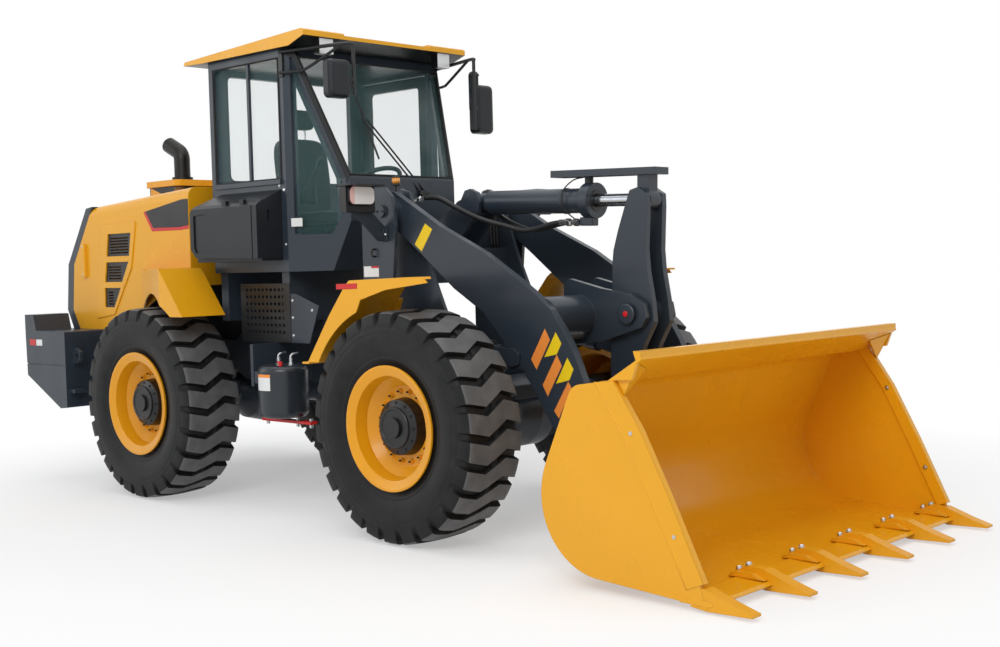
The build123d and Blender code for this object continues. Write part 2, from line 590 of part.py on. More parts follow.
def cab_interior():
    floor_z = CAB_FLOOR_Z + CAB_WALL
    base = block(-2050, -1650, -230, 230, floor_z, floor_z + 280)
    cushion = plate(((-2080, 1902), (-1620, 1902), (-1600, 1960), (-1640, 2010), (-2080, 2000)), -240, 240, radius=15)
    back = plate(((-2180, 1930), (-2050, 1930), (-2120, 2560), (-2200, 2560)), -230, 230, radius=15)
    rest = plate(((-2195, 2600), (-2120, 2600), (-2125, 2760), (-2190, 2760)), -140, 140, radius=15)
    stalks = both(bar((-2160, 60, 2555), (-2160, 60, 2605), 10))
    seat = base + cushion + back + rest + stalks
    column = plate(((-1330, floor_z), (-1220, floor_z + 50), (-1180, 2010), (-1290, 2060)), -120, 120)
    column = column & cab_solid(CAB_WALL + PIN_GAP)
    shaft = bar((-1250, 0, 2000), (-1338, 0, 2176), 25)
    wheel = Pos(-1340, 0, 2180) * Rot(0, -27, 0) * (Torus(190, 16) + Cylinder(12, 380, rotation=(90, 0, 0))
                                                    + Cylinder(60, 20))
    console = plate(((-2050, 2040), (-1640, 2040), (-1600, 2110), (-1650, 2150), (-2050, 2120)), -520, -380, radius=15)
    console = console + block(-2000, -1750, -500, -400, floor_z, 2041)
    levers = join([bar((-1680, y, 2110), (-1660, y, 2240), 9) + Pos(-1660, y, 2250) * Sphere(22)
                   for y in (-420, -480)])
    return seat, column + shaft + wheel, console + levers


def storage_boxes():
    outer_y = -900
    box = plate(((-2250, 1990), (-2160, 2130), (-1485, 2130), (-1485, 1670), (-2190, 1685), (-2250, 1745)),
                outer_y, -CAB_HALF)
    box = box & wall(((outer_y, 1600), (outer_y, 2020), (outer_y + 25, 2042), (-CAB_HALF, 2126), (-CAB_HALF, 1600)),
                     -2300, -1400)
    panel = plate(((-2210, 1975), (-2080, 1985), (-1790, 1900), (-1690, 1720), (-2190, 1720), (-2210, 1755)),
                  outer_y - 5, outer_y + 10)
    latch = block(-1500, -1400, -815, -795, 1925, 1990)
    seam = block(-1545, -1535, outer_y - 5, outer_y + 6, 1600, 2200)
    hinges = join([block(x - 22, x + 22, outer_y + 10, outer_y + 40, 2020, 2062) for x in (-1860, -1660)])
    shelf = block(-2230, -1490, -860, -CAB_HALF, 1655, 1688)
    box = box - panel - latch - seam + hinges + shelf
    left = plate(((-2300, 1590), (-1480, 1590), (-1480, 1612), (-2300, 1612)), CAB_HALF, HOOD_HALF - 10)
    return box, left


def ladder():
    ends = (-1925, -1665)
    stiles = join([bar((x, 1060, 540), (x, 990, 1230), 18) for x in ends])
    treads = join([block(*ends, y - 80, y + 80, z, z + 25) for y, z in ((1055, 560), (1025, 860), (1000, 1160))])
    arms = join([block(x - 15, x + 15, RAIL_Y + RAIL_THICK, 1000, 1190, 1225) for x in ends])
    return stiles + treads + arms


TANK = (-1356, -825)
TANK_R = 165


def air_tank():
    body = post(*TANK, TANK_R, 630, 975)
    body = fillet(body.edges().filter_by(GeomType.CIRCLE), 45)
    saddle = block(-1630, TANK[0] - 60, TANK[1] - 30, TANK[1] + 90, 840, 920)
    return body, saddle - post(*TANK, TANK_R + PIN_GAP, 600, 1000)


def exhaust():
    x, y = -3380, -200
    stack = pipe(((x, y, HOOD_CAP_Z), (x, y, 2520), (x - 170, y, 2600)), 62, 80)
    collar = post(x, y, 80, HOOD_CAP_Z, HOOD_CAP_Z + 25)
    return stack + collar


MIRROR = (-920, 655)
MIRROR_ARM = (-877, 548)
# Lowest and highest Z of each mirror head
MIRROR_Z = {"left": (2510, 2850), "right": (2672, 2915)}


def mirrors():
    shapes = []
    for name, side in SIDES.items():
        low, high = MIRROR_Z[name]
        foot_y = side * (CAB_HALF + 20)
        x, y = MIRROR_ARM[0], side * MIRROR_ARM[1]
        foot = block(-1455, -1415, side * CAB_HALF, side * (CAB_HALF + 12), 2860, 3040)
        arm = pipe(((-1435, foot_y, 3022), (x - 20, side * 562, 3024), (x, y, 2990), (x, y, low + 20)), 12, 25)
        brace = pipe(((-1435, foot_y, 2885), (-1250, side * 650, 2885), (x - 90, side * 577, 3018)), 10, 40)
        head = slab(((MIRROR[0] - 32, side * MIRROR[1] - 90), (MIRROR[0] + 28, side * MIRROR[1] - 90),
                     (MIRROR[0] + 28, side * MIRROR[1] + 90), (MIRROR[0] - 32, side * MIRROR[1] + 90)),
                    low, high, radius=20)
        tie = block(x - 20, x, side * 555, side * 575, (low + high) / 2 - 15, (low + high) / 2 + 15)
        shapes.append(foot + arm + brace + head + tie)
    return join(shapes)


def head_lamps():
    """The head lamps: a boxy body on a plate from the tower, a proud lens and a flat flap over it."""
    body = block(-600, -535, 705, 935, 1928, 2088)
    body = chamfer(body.edges().filter_by(Axis.Y).group_by(Axis.X)[0], 20)
    lens = wall(((722, 1978), (905, 1972), (925, 1995), (925, 2080), (905, 2086), (725, 2086)), -536, -520)
    flap = slab(((-640, 680), (-640, 930), (-600, 955), (-470, 955), (-440, 930), (-440, 700)), 2088, 2098)
    bracket = wall(((700, 1928), (860, 1928), (800, 1880), (700, 1790), (660, 1755), (600, 1750), (600, 1840)),
                   -575, -563)
    foot = block(-600, -535, TOWER_OUTER_Y + TOWER_PLATE, 615, 1755, 1835)
    return both(body + lens + flap + bracket + foot)


def front_fenders():
    outer = ((-760, 1033), (-706, 1033), (-490, 1320), (-337, 1496), (-300, 1522), (230, 1536), (382, 1535))
    inner = ((382, 1523), (230, 1524), (-296, 1510), (-328, 1487), (-480, 1312), (-700, 1021), (-760, 1021))
    sheet = plate(outer + inner, 650, 1130)
    skirt = plate(((-706, 1033), (-490, 1320), (-337, 1496), (-300, 1522), (230, 1536), (327, 1535), (358, 1502),
                   (11, 1465), (-208, 1408), (-266, 1304), (-400, 1140), (-488, 1046), (-544, 1033)), 1122, 1130)
    skirt = skirt - pin((AXLE_X["front"], TYRE_R), TYRE_R + 30, 1000, 1200)
    stay = plate(((-640, 1180), (-640, 1300), (-420, 1400), (-500, 1180)), TOWER_OUTER_Y + TOWER_PLATE, 665)
    plan = slab(((-800, 640), (-150, 640), (382, 1122), (382, 1130), (-800, 1130)), 900, 1600)
    return both((sheet & plan) + skirt + stay)


# Bucket

BUCKET_BENDS = (375, 400, 90, 60)


def bucket_curve(inset):
    """The shell's section, as the closed region in front of a bent sheet."""
    k = inset
    points = ((2240, 30 + k), (1266 + k, 90 + k), (1266 + k, 530), (1480 + k, 1000 - k), (1700, 1028 - k),
              (1905, 1150 - k))
    bends = [radius - k if n < 3 else radius + k for n, radius in enumerate(BUCKET_BENDS)]
    path = FilletPolyline(*points, radius=bends)
    if k:
        closing = Polyline(path @ 1, (2100, 1400), (2600, 1400), (2600, 46), path @ 0)
    else:
        closing = Line(path @ 1, path @ 0)
    return make_face(Wire([*path.edges(), *closing.edges()]))


def bucket():
    side = Plane(origin=(0, BUCKET_W / 2, 0), x_dir=(1, 0, 0), z_dir=(0, -1, 0))
    outer = extrude(side * bucket_curve(0), amount=BUCKET_W)
    inner = extrude(side * bucket_curve(BUCKET_PLATE), amount=BUCKET_W)
    shell = outer - inner
    front_bound = plate(((1200, 0), (2238, 0), (2238, 34), (2234, 133), (1739, 1034), (1200, 1034)),
                        -BUCKET_W, BUCKET_W)
    cheek = extrude(side * bucket_curve(0), amount=20) & front_bound
    cutter = plate(((1739, 1034), (1892, 810), (2056, 499), (2234, 133), (2170, 110), (1990, 480), (1830, 790),
                    (1660, 1027)), BUCKET_W / 2 - 36, BUCKET_W / 2)
    lip = plate(((1880, 1120), (1905, 1135), (1905, 1176), (1860, 1176)), -BUCKET_W / 2, BUCKET_W / 2)
    edge = plate(((2100, 34), (2262, 30), (2285, 44), (2270, 58), (2100, 64)), -BUCKET_W / 2, BUCKET_W / 2)
    gusset = plate(((1700, 1020), (1890, 1140), (1850, 1040), (1739, 1034)), BUCKET_W / 2 - 20, BUCKET_W / 2)
    ears = join([plate(((1100, 330), (1156, 290), (1400, 150), (1500, 130), (1320, 560), (1290, 560), (1120, 440)),
                       y, y + 30, radius=10) - inner for y in (ARM_Y - 77, ARM_Y + 47)])
    link_ear = plate(((1180, 620), (1240, 580), (1290, 450), (1330, 450), (1420, 840), (1300, 760), (1200, 710)),
                     100, 132, radius=10) - inner
    pins = pin(LINK_PIN, PIN_R, -132, 132) + both(pin(BUCKET_PIN, PIN_R, ARM_Y - 77, ARM_Y + 77))
    body = shell + both(cheek) + both(cutter) + lip + edge + both(gusset)
    return body + both(ears) + both(link_ear) + pins


def teeth(seat):
    """The teeth, each cut to sit over the cutting edge."""
    profile = ((2040, 66), (2150, 118), (2240, 112), (2380, 62), (2487, 30), (2487, 18), (2250, 12), (2160, 22),
               (2160, 66))
    span = BUCKET_W / 2 - TOOTH_W / 2
    shapes = [plate(profile, y - TOOTH_W / 2, y + TOOTH_W / 2)
              for y in (-span + 2 * span * n / (TEETH - 1) for n in range(TEETH))]
    return join(shapes) - seat


def build():
    """Every node: its name and its shape."""
    nodes = {}
    loose_tyre = tyre()
    for side_name, side in SIDES.items():
        y = side * TRACK / 2
        for axle_name, x in AXLE_X.items():
            nodes[f"tyre_{axle_name}_{side_name}"] = Pos(x, y, 0) * loose_tyre
            nodes[f"rim_{axle_name}_{side_name}"] = rim(x, y, side)
        nodes[f"lift_barrel_{side_name}"], nodes[f"lift_rod_{side_name}"] = lift_cylinder(side)
        nodes[f"steer_barrel_{side_name}"], nodes[f"steer_rod_{side_name}"] = steer_cylinder(side)
    nodes["tilt_barrel"], nodes["tilt_rod"] = tilt_cylinder()
    nodes["front_frame"] = front_frame() + steer_ears(STEER_EYE[0], 1, False) + steer_ears(STEER_EYE[0], -1, False)
    nodes["front_axle"] = axle(0, -1)
    nodes["rear_axle"] = axle(-WHEELBASE, 1)
    nodes["front_fenders"] = front_fenders()
    nodes["head_lamps"] = head_lamps()
    nodes["boom"] = boom()
    nodes["crank"] = crank()
    nodes["bucket_link"] = bucket_link()
    nodes["bucket"] = bucket()
    nodes["bucket_teeth"] = teeth(nodes["bucket"])
    nodes["rear_frame"] = rear_frame()
    nodes["counterweight"] = counterweight()
    nodes["engine_hood"] = engine_hood()
    nodes["side_louvres"] = side_louvres()
    nodes["rear_grille"] = rear_grille()
    nodes["engine_block"] = block(-3800, -2950, -RAIL_Y, RAIL_Y, 870, 1650)
    nodes["transmission"] = block(-2350, -1950, -RAIL_Y, RAIL_Y, 870, 1150) + block(-2300, -2000, -200, 200, 620, 871)
    nodes["exhaust"] = exhaust()
    nodes["rear_fenders"] = rear_fenders()
    nodes["cab_frame"] = cab_frame()
    nodes["cab_roof"] = cab_roof()
    for name, sheet in zip(("windscreen", "quarter_glass", "side_glass", "rear_glass"), cab_glass()):
        nodes[name] = sheet
    nodes["cab_door"], nodes["door_glass"] = cab_door()
    nodes["seat"], nodes["steering_column"], nodes["lever_console"] = cab_interior()
    nodes["battery_box"], nodes["left_platform"] = storage_boxes()
    nodes["ladder"] = ladder()
    nodes["air_tank"], nodes["tank_saddle"] = air_tank()
    nodes["mirrors"] = mirrors()
    return nodes


def main():
    os.makedirs("parts", exist_ok=True)
    for name, shape in build().items():
        moved = Pos(SHIFT_X, 0, 0) * shape
        export_step(moved, f"parts/{name}.step")


if __name__ == "__main__":
    main()
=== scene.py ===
"""The wheel loader's looks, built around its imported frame. Metres, +X forward, +Y left, +Z up."""

import json
import math

import bmesh
import bpy
from mathutils import Matrix, Vector


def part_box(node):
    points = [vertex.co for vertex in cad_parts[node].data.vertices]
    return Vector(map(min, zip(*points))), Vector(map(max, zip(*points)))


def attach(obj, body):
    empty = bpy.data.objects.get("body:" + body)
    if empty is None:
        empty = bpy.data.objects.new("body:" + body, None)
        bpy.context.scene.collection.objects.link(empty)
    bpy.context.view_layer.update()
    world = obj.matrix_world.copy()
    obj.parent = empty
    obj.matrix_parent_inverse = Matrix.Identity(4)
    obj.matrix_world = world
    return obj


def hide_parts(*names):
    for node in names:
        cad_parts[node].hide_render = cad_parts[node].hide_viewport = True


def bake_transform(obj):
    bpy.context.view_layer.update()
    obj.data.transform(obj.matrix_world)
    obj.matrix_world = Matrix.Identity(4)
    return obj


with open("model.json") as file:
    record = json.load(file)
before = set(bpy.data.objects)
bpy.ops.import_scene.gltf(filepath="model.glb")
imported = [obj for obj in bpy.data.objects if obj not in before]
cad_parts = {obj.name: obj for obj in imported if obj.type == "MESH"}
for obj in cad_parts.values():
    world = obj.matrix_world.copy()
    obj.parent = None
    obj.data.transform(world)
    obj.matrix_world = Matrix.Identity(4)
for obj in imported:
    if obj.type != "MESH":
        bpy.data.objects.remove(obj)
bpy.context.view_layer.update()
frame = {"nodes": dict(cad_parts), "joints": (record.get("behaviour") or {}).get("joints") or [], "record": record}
NODES = frame["nodes"]
JOINTS = {joint["name"]: joint for joint in frame["joints"]}
SLOT_OF = {part["node"]: part["material_slot"] for part in frame["record"]["subparts"]}
FRONT_AXLE = Vector(JOINTS["wheel_front_left_spin"]["pos_m"])
REAR_AXLE = Vector(JOINTS["wheel_rear_left_spin"]["pos_m"])
TYRE_RADIUS = FRONT_AXLE.z
MM = 0.001
ALONG, ACROSS, UP = Vector((1, 0, 0)), Vector((0, 1, 0)), Vector((0, 0, 1))
# Each side and its sign in Y
SIDES = (("left", 1), ("right", -1))


def at(x, y, z):
    """A place given in millimetres from the front axle's middle on the ground."""
    return Vector((FRONT_AXLE.x + x * MM, y * MM, z * MM))


def mirrored(places, way):
    return [(x, way * y, z) for x, y, z in places]


# Materials

COAT_ROUGHNESS = 0.12
# Metres: painted edges look rounded over this radius
EDGE_ROUNDING = 0.006


def add_math(tree, operation, *sources):
    """A number worked out from others."""
    node = tree.nodes.new("ShaderNodeMath")
    node.operation = operation
    for source, socket in zip(sources, node.inputs):
        tree.links.new(source, socket)
    return node.outputs[0]


def new_material(name, colour, roughness, metallic=0.0, coat=0.0, specular=0.5):
    """A node material and its shader, with its numbers set."""
    material = bpy.data.materials.new(name)
    material.use_nodes = True
    material.diffuse_color = (*colour, 1)
    surface = material.node_tree.nodes["Principled BSDF"]
    for socket, value in (("Base Color", (*colour, 1)), ("Roughness", roughness), ("Metallic", metallic),
                          ("Coat Weight", coat), ("Coat Roughness", COAT_ROUGHNESS),
                          ("Specular IOR Level", specular)):
        surface.inputs[socket].default_value = value
    return material, surface


def add_texture(surface, kind, **values):
    """A texture in object coordinates, its numbers given by socket."""
    tree = surface.id_data
    place = tree.nodes.new("ShaderNodeTexCoord")
    texture = tree.nodes.new(f"ShaderNodeTex{kind}")
    for socket, value in values.items():
        texture.inputs[socket].default_value = value
    tree.links.new(place.outputs["Object"], texture.inputs["Vector"])
    return texture


def add_noise(surface, scale, detail=3.0):
    return add_texture(surface, "Noise", Scale=scale, Detail=detail).outputs["Fac"]


def add_wave(surface, axis, **values):
    wave = add_texture(surface, "Wave", **values)
    wave.bands_direction = axis
    return wave.outputs["Fac"]


def add_ramp(surface, source, socket, stops):
    """A ramp from a source to the shader's socket: each stop is a place and a colour."""
    tree = surface.id_data
    ramp = tree.nodes.new("ShaderNodeValToRGB")
    first, last = ramp.color_ramp.elements
    for element, (place, colour) in zip((first, last), stops):
        element.position, element.color = place, (*colour, 1)
    tree.links.new(source, ramp.inputs["Fac"])
    tree.links.new(ramp.outputs["Color"], surface.inputs[socket])


def vary(surface, source, socket, base, *stops):
    """A socket varied round its base by a source: each stop is a place and a factor."""
    add_ramp(surface, source, socket,
             [(place, [min(1, channel * factor) for channel in base]) for place, factor in stops])


def add_bump(surface, source, strength, depth, edge=0.0):
    """Fine relief from a height, over edges rounded to a radius."""
    tree = surface.id_data
    bump = tree.nodes.new("ShaderNodeBump")
    if edge:
        rounding = tree.nodes.new("ShaderNodeBevel")
        rounding.samples = 6
        rounding.inputs["Radius"].default_value = edge
        tree.links.new(rounding.outputs["Normal"], bump.inputs["Normal"])
    bump.inputs["Strength"].default_value = strength
    bump.inputs["Distance"].default_value = depth
    tree.links.new(source, bump.inputs["Height"])
    tree.links.new(bump.outputs["Normal"], surface.inputs["Normal"])


def paint(name, colour, roughness, coat, spread=0.06):
    """Sprayed paint: faint cloudiness, a slight wave and a little uneven gloss."""
    material, surface = new_material(name, colour, roughness, 0, coat, 0.35)
    vary(surface, add_noise(surface, 1.7), "Base Color", colour, (0.3, 1 - spread), (0.7, 1 + spread))
    vary(surface, add_noise(surface, 4, 1), "Roughness", [roughness] * 3, (0.3, 0.82), (0.7, 1.2))
    add_bump(surface, add_noise(surface, 16, 0), 0.03, 0.0005, EDGE_ROUNDING)
    return material


def rubber(name, colour, dust, roughness, specular=0.35):
    """Rubber with a dusty bloom and a fine grain."""
    material, surface = new_material(name, colour, roughness, 0, 0, specular)
    add_ramp(surface, add_noise(surface, 9, 6), "Base Color", ((0.35, colour), (0.72, dust)))
    add_bump(surface, add_noise(surface, 380), 0.25, 0.0008)
    return material


def metal(name, colour, roughness):
    material, surface = new_material(name, colour, roughness, 1)
    wear = add_noise(surface, 40, 4)
    vary(surface, wear, "Roughness", [roughness] * 3, (0.35, 0.7), (0.7, 1.35))
    add_bump(surface, wear, 0.05, 0.0004)
    return material


def plastic(name, colour, roughness):
    """Moulded plastic with its leather-like grain."""
    material, surface = new_material(name, colour, roughness, 0, 0, 0.28)
    cells = add_texture(surface, "Voronoi", Scale=260)
    add_bump(surface, cells.outputs["Distance"], 0.18, 0.0007)
    vary(surface, add_noise(surface, 5), "Base Color", colour, (0.3, 0.85), (0.7, 1.15))
    return material


def casting(name, colour, roughness):
    material, surface = new_material(name, colour, roughness, 0, 0.05)
    add_bump(surface, add_noise(surface, 130, 5), 0.35, 0.0012)
    vary(surface, add_noise(surface, 7), "Base Color", colour, (0.3, 0.8), (0.7, 1.25))
    return material


def fabric(name, colour, roughness):
    """Woven seat cloth: two crossed rows of threads."""
    material, surface = new_material(name, colour, roughness, 0, 0, 0.2)
    surface.inputs["Sheen Weight"].default_value = 0.3
    threads = [add_wave(surface, axis, Scale=190, Distortion=0.6) for axis in "XZ"]
    weave = add_math(surface.id_data, "MAXIMUM", *threads)
    add_bump(surface, weave, 0.5, 0.0008)
    vary(surface, weave, "Base Color", colour, (0.2, 0.6), (0.9, 1.3))
    return material


def glass(name, colour, amount):
    """Tinted sheet glass: mostly clear, with mirror-like reflections at a slant."""
    material, surface = new_material(name, colour, 0.03, specular=0.6)
    material.diffuse_color = (*colour, amount)
    surface.inputs["Alpha"].default_value = amount
    vary(surface, add_noise(surface, 2.2, 2), "Base Color", colour, (0.35, 0.9), (0.65, 1.08))
    return material


def lens(name, colour):
    """A moulded lamp lens with fine ribs."""
    material, surface = new_material(name, colour, 0.12, 0, 0.6)
    ribs = add_wave(surface, "Y", Scale=110)
    add_bump(surface, ribs, 0.3, 0.001)
    vary(surface, ribs, "Base Color", colour, (0.1, 0.8), (0.8, 1.05))
    return material


# Name, maker and its values: first the record's slots, then looks of what is added
LOOKS = {name: maker(f"{name}_look", *values) for name, maker, *values in (
    ("slate_paint", paint, (0.026, 0.036, 0.05), 0.36, 0.16),
    ("yellow_paint", paint, (0.82, 0.385, 0.008), 0.3, 0.14, 0.03),
    ("rim_paint", paint, (0.78, 0.335, 0.006), 0.34, 0.14, 0.04),
    ("tyre_rubber", rubber, (0.007, 0.0075, 0.008), (0.015, 0.015, 0.0155), 0.5, 0.22),
    ("rod_chrome", metal, (0.42, 0.45, 0.48), 0.2),
    ("black_paint", paint, (0.006, 0.0065, 0.0075), 0.4, 0.15, 0.1),
    ("cast_metal", casting, (0.014, 0.016, 0.018), 0.5),
    ("dark_plastic", plastic, (0.013, 0.0155, 0.019), 0.33),
    ("seat_fabric", fabric, (0.02, 0.022, 0.025), 0.85),
    ("tank_paint", paint, (0.02, 0.025, 0.032), 0.32, 0.2),
    ("cab_glass", glass, (0.2, 0.42, 0.42), 0.075),
    # The tread: lighter rubber for the lugs' tops, a painted highlight where light catches them
    ("tread", rubber, (0.08, 0.081, 0.083), (0.125, 0.125, 0.126), 0.5),
    ("bolt_steel", metal, (0.55, 0.56, 0.57), 0.3),
    ("hose", rubber, (0.012, 0.012, 0.013), (0.02, 0.02, 0.021), 0.5),
    ("seal", rubber, (0.01, 0.01, 0.011), (0.018, 0.018, 0.018), 0.6),
    ("blank_label", paint, (0.78, 0.79, 0.78), 0.45, 0.1, 0.02),
    ("signal_red", paint, (0.6, 0.012, 0.012), 0.35, 0.2, 0.05),
    ("stripe_orange", paint, (0.9, 0.29, 0.05), 0.42, 0.1, 0.03),
    ("stripe_lemon", paint, (0.9, 0.64, 0.01), 0.42, 0.1, 0.03),
    ("clear_lens", lens, (0.86, 0.87, 0.88)),
    ("blush_lens", lens, (0.86, 0.52, 0.5)),
    ("amber_lens", lens, (0.85, 0.33, 0.03)),
    ("red_lens", lens, (0.55, 0.02, 0.02)),
    ("mirror_glass", metal, (0.85, 0.87, 0.88), 0.04),
    ("exhaust_steel", metal, (0.035, 0.033, 0.032), 0.42),
    ("tooth_paint", paint, (0.8, 0.37, 0.008), 0.42, 0.1, 0.06),
)}


def repaint(name, look, chosen):
    """One more look on a CAD node, for the faces that the test picks."""
    mesh = NODES[name].data
    mesh.materials.append(LOOKS[look])
    for polygon in mesh.polygons:
        if chosen(polygon):
            polygon.material_index = len(mesh.materials) - 1


def inside(place, low, high):
    return all(a < b < c for a, b, c in zip(low, place, high))


def from_line(place, start, line):
    """How far along a line a place lies, and how far off it."""
    run = (place - start).dot(line)
    return run, (place - start - line * run).length


# Mesh helpers

# Radians: sharper edges are bevelled where a piece asks for it
SHARP_TURN = 0.6


def linked(name, data):
    obj = bpy.data.objects.new(name, data)
    bpy.context.scene.collection.objects.link(obj)
    return obj


def built(name, form, looks, refine):
    """A mesh with its looks, its faces turned outward, refined by a function."""
    verts, faces = form
    mesh = bpy.data.meshes.new(name)
    mesh.from_pydata([tuple(v) for v in verts], [], faces)
    for look in looks:
        mesh.materials.append(LOOKS[look])
    work = bmesh.new()
    work.from_mesh(mesh)
    bmesh.ops.recalc_face_normals(work, faces=work.faces)
    refine(work)
    work.to_mesh(mesh)
    work.free()
    return mesh


def piece(name, form, look, body="rear_body", bevel=0.0, smooth=False, slot=None):
    """A piece that rides on its body, unless that is None."""
    def refine(work):
        if bevel:
            sharp = [e for e in work.edges if len(e.link_faces) == 2 and e.calc_face_angle() > SHARP_TURN]
            bmesh.ops.bevel(work, geom=sharp, offset=bevel, segments=2, affect="EDGES", clamp_overlap=True)

    mesh = built(name, form, [look], refine)
    if smooth:
        mesh.shade_smooth()
    obj = linked(name, mesh)
    if body:
        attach(obj, body)
    return obj


def prism(points, offset):
    """A prism's verts and faces: a flat outline drawn out by a vector."""
    count = len(points)
    verts = [Vector(p) for p in points] + [Vector(p) + Vector(offset) for p in points]
    faces = [tuple(range(count)), tuple(range(2 * count - 1, count - 1, -1))]
    faces += [(n, (n + 1) % count, count + (n + 1) % count, count + n) for n in range(count)]
    return verts, faces


def merge(parts):
    verts, faces = [], []
    for part_verts, part_faces in parts:
        start = len(verts)
        verts += part_verts
        faces += [tuple(start + n for n in face) for face in part_faces]
    return verts, faces


def side_plate(points, y, thick, way):
    """A thin plate standing out from a side: points in X and Z, all in millimetres."""
    return prism([at(x, way * y, z) for x, z in points], (0, way * thick * MM, 0))


def plates(side, way, body, rows):
    """Thin plates on one side: each row is a name, outline, Y, thickness, look and perhaps a bevel."""
    for name, points, y, thick, look, *bevel in rows:
        piece(f"{name}_{side}", side_plate(points, y, thick, way), look, body, *bevel)


def circle(middle, across, up, radius, count, start=0.0):
    turns = [2 * math.pi * (n + start) / count for n in range(count)]
    return [middle + radius * (math.cos(turn) * across + math.sin(turn) * up) for turn in turns]


def rounded(middle, width, height, radius):
    """A rounded rectangle's outline: Y and Z in millimetres."""
    outline = []
    for n, (across, up) in enumerate(((1, -1), (1, 1), (-1, 1), (-1, -1))):
        centre = (middle[0] + across * (width / 2 - radius), middle[1] + up * (height / 2 - radius))
        for k in range(7):
            turn = math.pi / 2 * (n - 1 + k / 6)
            outline.append((centre[0] + radius * math.cos(turn), centre[1] + radius * math.sin(turn)))
    return outline


def smooth_path(points, steps):
    ends = [2 * points[0] - points[1]] + list(points) + [2 * points[-1] - points[-2]]
    path = []
    for n in range(1, len(ends) - 2):
        a, b, c, d = ends[n - 1:n + 3]
        for k in range(steps):
            t = k / steps
            path.append(0.5 * (2 * b + (c - a) * t + (2 * a - 5 * b + 4 * c - d) * t ** 2
                               + (3 * b - a - 3 * c + d) * t ** 3))
    return path + [points[-1]]


def wall_faces(rings, sides, closed=False):
    """Faces between rings of verts, with flat ends unless it closes on itself."""
    total = rings * sides
    faces = []
    for n in range(rings - (not closed)):
        for k in range(sides):
            a, b = n * sides + k, n * sides + (k + 1) % sides
            faces.append((a, b, (b + sides) % total, (a + sides) % total))
    if not closed:
        faces += [tuple(range(sides))[::-1], tuple(range(total - sides, total))]
    return faces


def tube(points, radius, sides=12, steps=8):
    """A round tube along a smooth path, closed at its ends."""
    path = smooth_path(points, steps) if len(points) > 2 else list(points)
    verts = []
    across = (path[1] - path[0]).normalized().orthogonal().normalized()
    for n, place in enumerate(path):
        forward = (path[min(n + 1, len(path) - 1)] - path[max(n - 1, 0)]).normalized()
        across = (across - forward * across.dot(forward)).normalized()
        verts += circle(place, across, forward.cross(across), radius, sides)
    return verts, wall_faces(len(path), sides)


def pipe(places, radius, sides=10, steps=8):
    """A tube through places in millimetres; its radius is in metres."""
    return tube([at(*place) for place in places], radius, sides, steps)


def spun(profile, place, axis, sides=24, hollow=False):
    """A turned form, capped or hollow, from distances along its axis and radii."""
    axis = Vector(axis).normalized()
    across = axis.orthogonal().normalized()
    up = axis.cross(across)
    verts = []
    for run, radius in profile:
        verts += circle(place + axis * run, across, up, radius, sides)
    return verts, wall_faces(len(profile), sides, hollow)


def bolt(place, axis, radius, height):
    """A chamfered hexagon head on its washer."""
    washer = spun(((0, radius * 1.35), (height * 0.22, radius * 1.35)), place, axis, 16)
    head = spun(((height * 0.2, radius), (height * 0.85, radius), (height, radius * 0.82)), place, axis, 6)
    return merge([washer, head])


def bolts(name, places, axis, body="rear_body", radius=8, height=7, look="bolt_steel"):
    """Like bolts in one piece, in millimetres."""
    heads = merge([bolt(at(*p), axis, radius * MM, height * MM) for p in places])
    return piece(name, heads, look, body, slot="rod_chrome")


# Tyres and wheels

LUGS = 26
# Share of the lug pitch, and how far a lug stands there: 1 is full height
LUG_STEPS = ((0.0, 1), (0.02, 1), (0.34, 1), (0.66, 1), (0.68, 1), (0.735, 0), (0.84, 0), (0.945, 0))
LUG_MIDDLE = 0.34
# Share of the half width from the right, and the lug's shift along the tread in metres
LUG_SWEEP = ((-1.1, 0.0), (-0.33, -0.038), (0.33, 0.042), (1.1, 0.0))
# Millimetres from the middle out: Y and radius on the lugs, then on the casing between them
TREAD_ROWS = (
    (0, 675, 0, 661), (14, 675, 14, 661), (20, 674.9, 20, 647), (60, 674, 60, 645), (72, 673.5, 72, 645),
    (110, 672, 108, 643), (150, 669.5, 145, 639), (182, 666, 178, 632), (196, 662, 189, 627),
    (203, 656, 195, 620), (209, 640, 202, 607), (214, 618, 207, 596), (217.5, 597, 211, 588),
    (218, 590, 213, 583), (217.5, 584, 215, 580))
TREAD_HALF = 218
# Radii: above these the tyre follows the lugs' sweep, and a lug's top gets lighter rubber as a painted highlight
SWEPT_ABOVE, HIGHLIGHT_ABOVE = 575, 655
# Y and radius of the side wall down to the bead
WALL_ROWS = (
    (219, 574), (221, 560), (221.5, 548), (221, 544), (222, 541), (222.3, 520), (221, 497), (217.5, 470),
    (211, 444), (202, 420), (198, 412), (199.5, 408), (199, 402), (193, 392), (187, 383), (184, 376),
    (180, 366), (178.3, 345))
# Radians: flatter edges are shaded smooth
TYRE_SMOOTH_TURN = 0.55


def sweep_at(share):
    """A lug's shift along the tread at a share of the half width."""
    for (low, start), (high, end) in zip(LUG_SWEEP, LUG_SWEEP[1:]):
        if low <= share <= high:
            return start + (end - start) * (share - low) / (high - low)
    return 0.0


def tyre_rows():
    """Every ring from the right bead to the left: Y and radius, on lugs and between."""
    half = list(TREAD_ROWS) + [(y, r, y, r) for y, r in WALL_ROWS]
    right = [(-y, r, -iy, ir) for y, r, iy, ir in reversed(half)]
    return right[:-1] + half


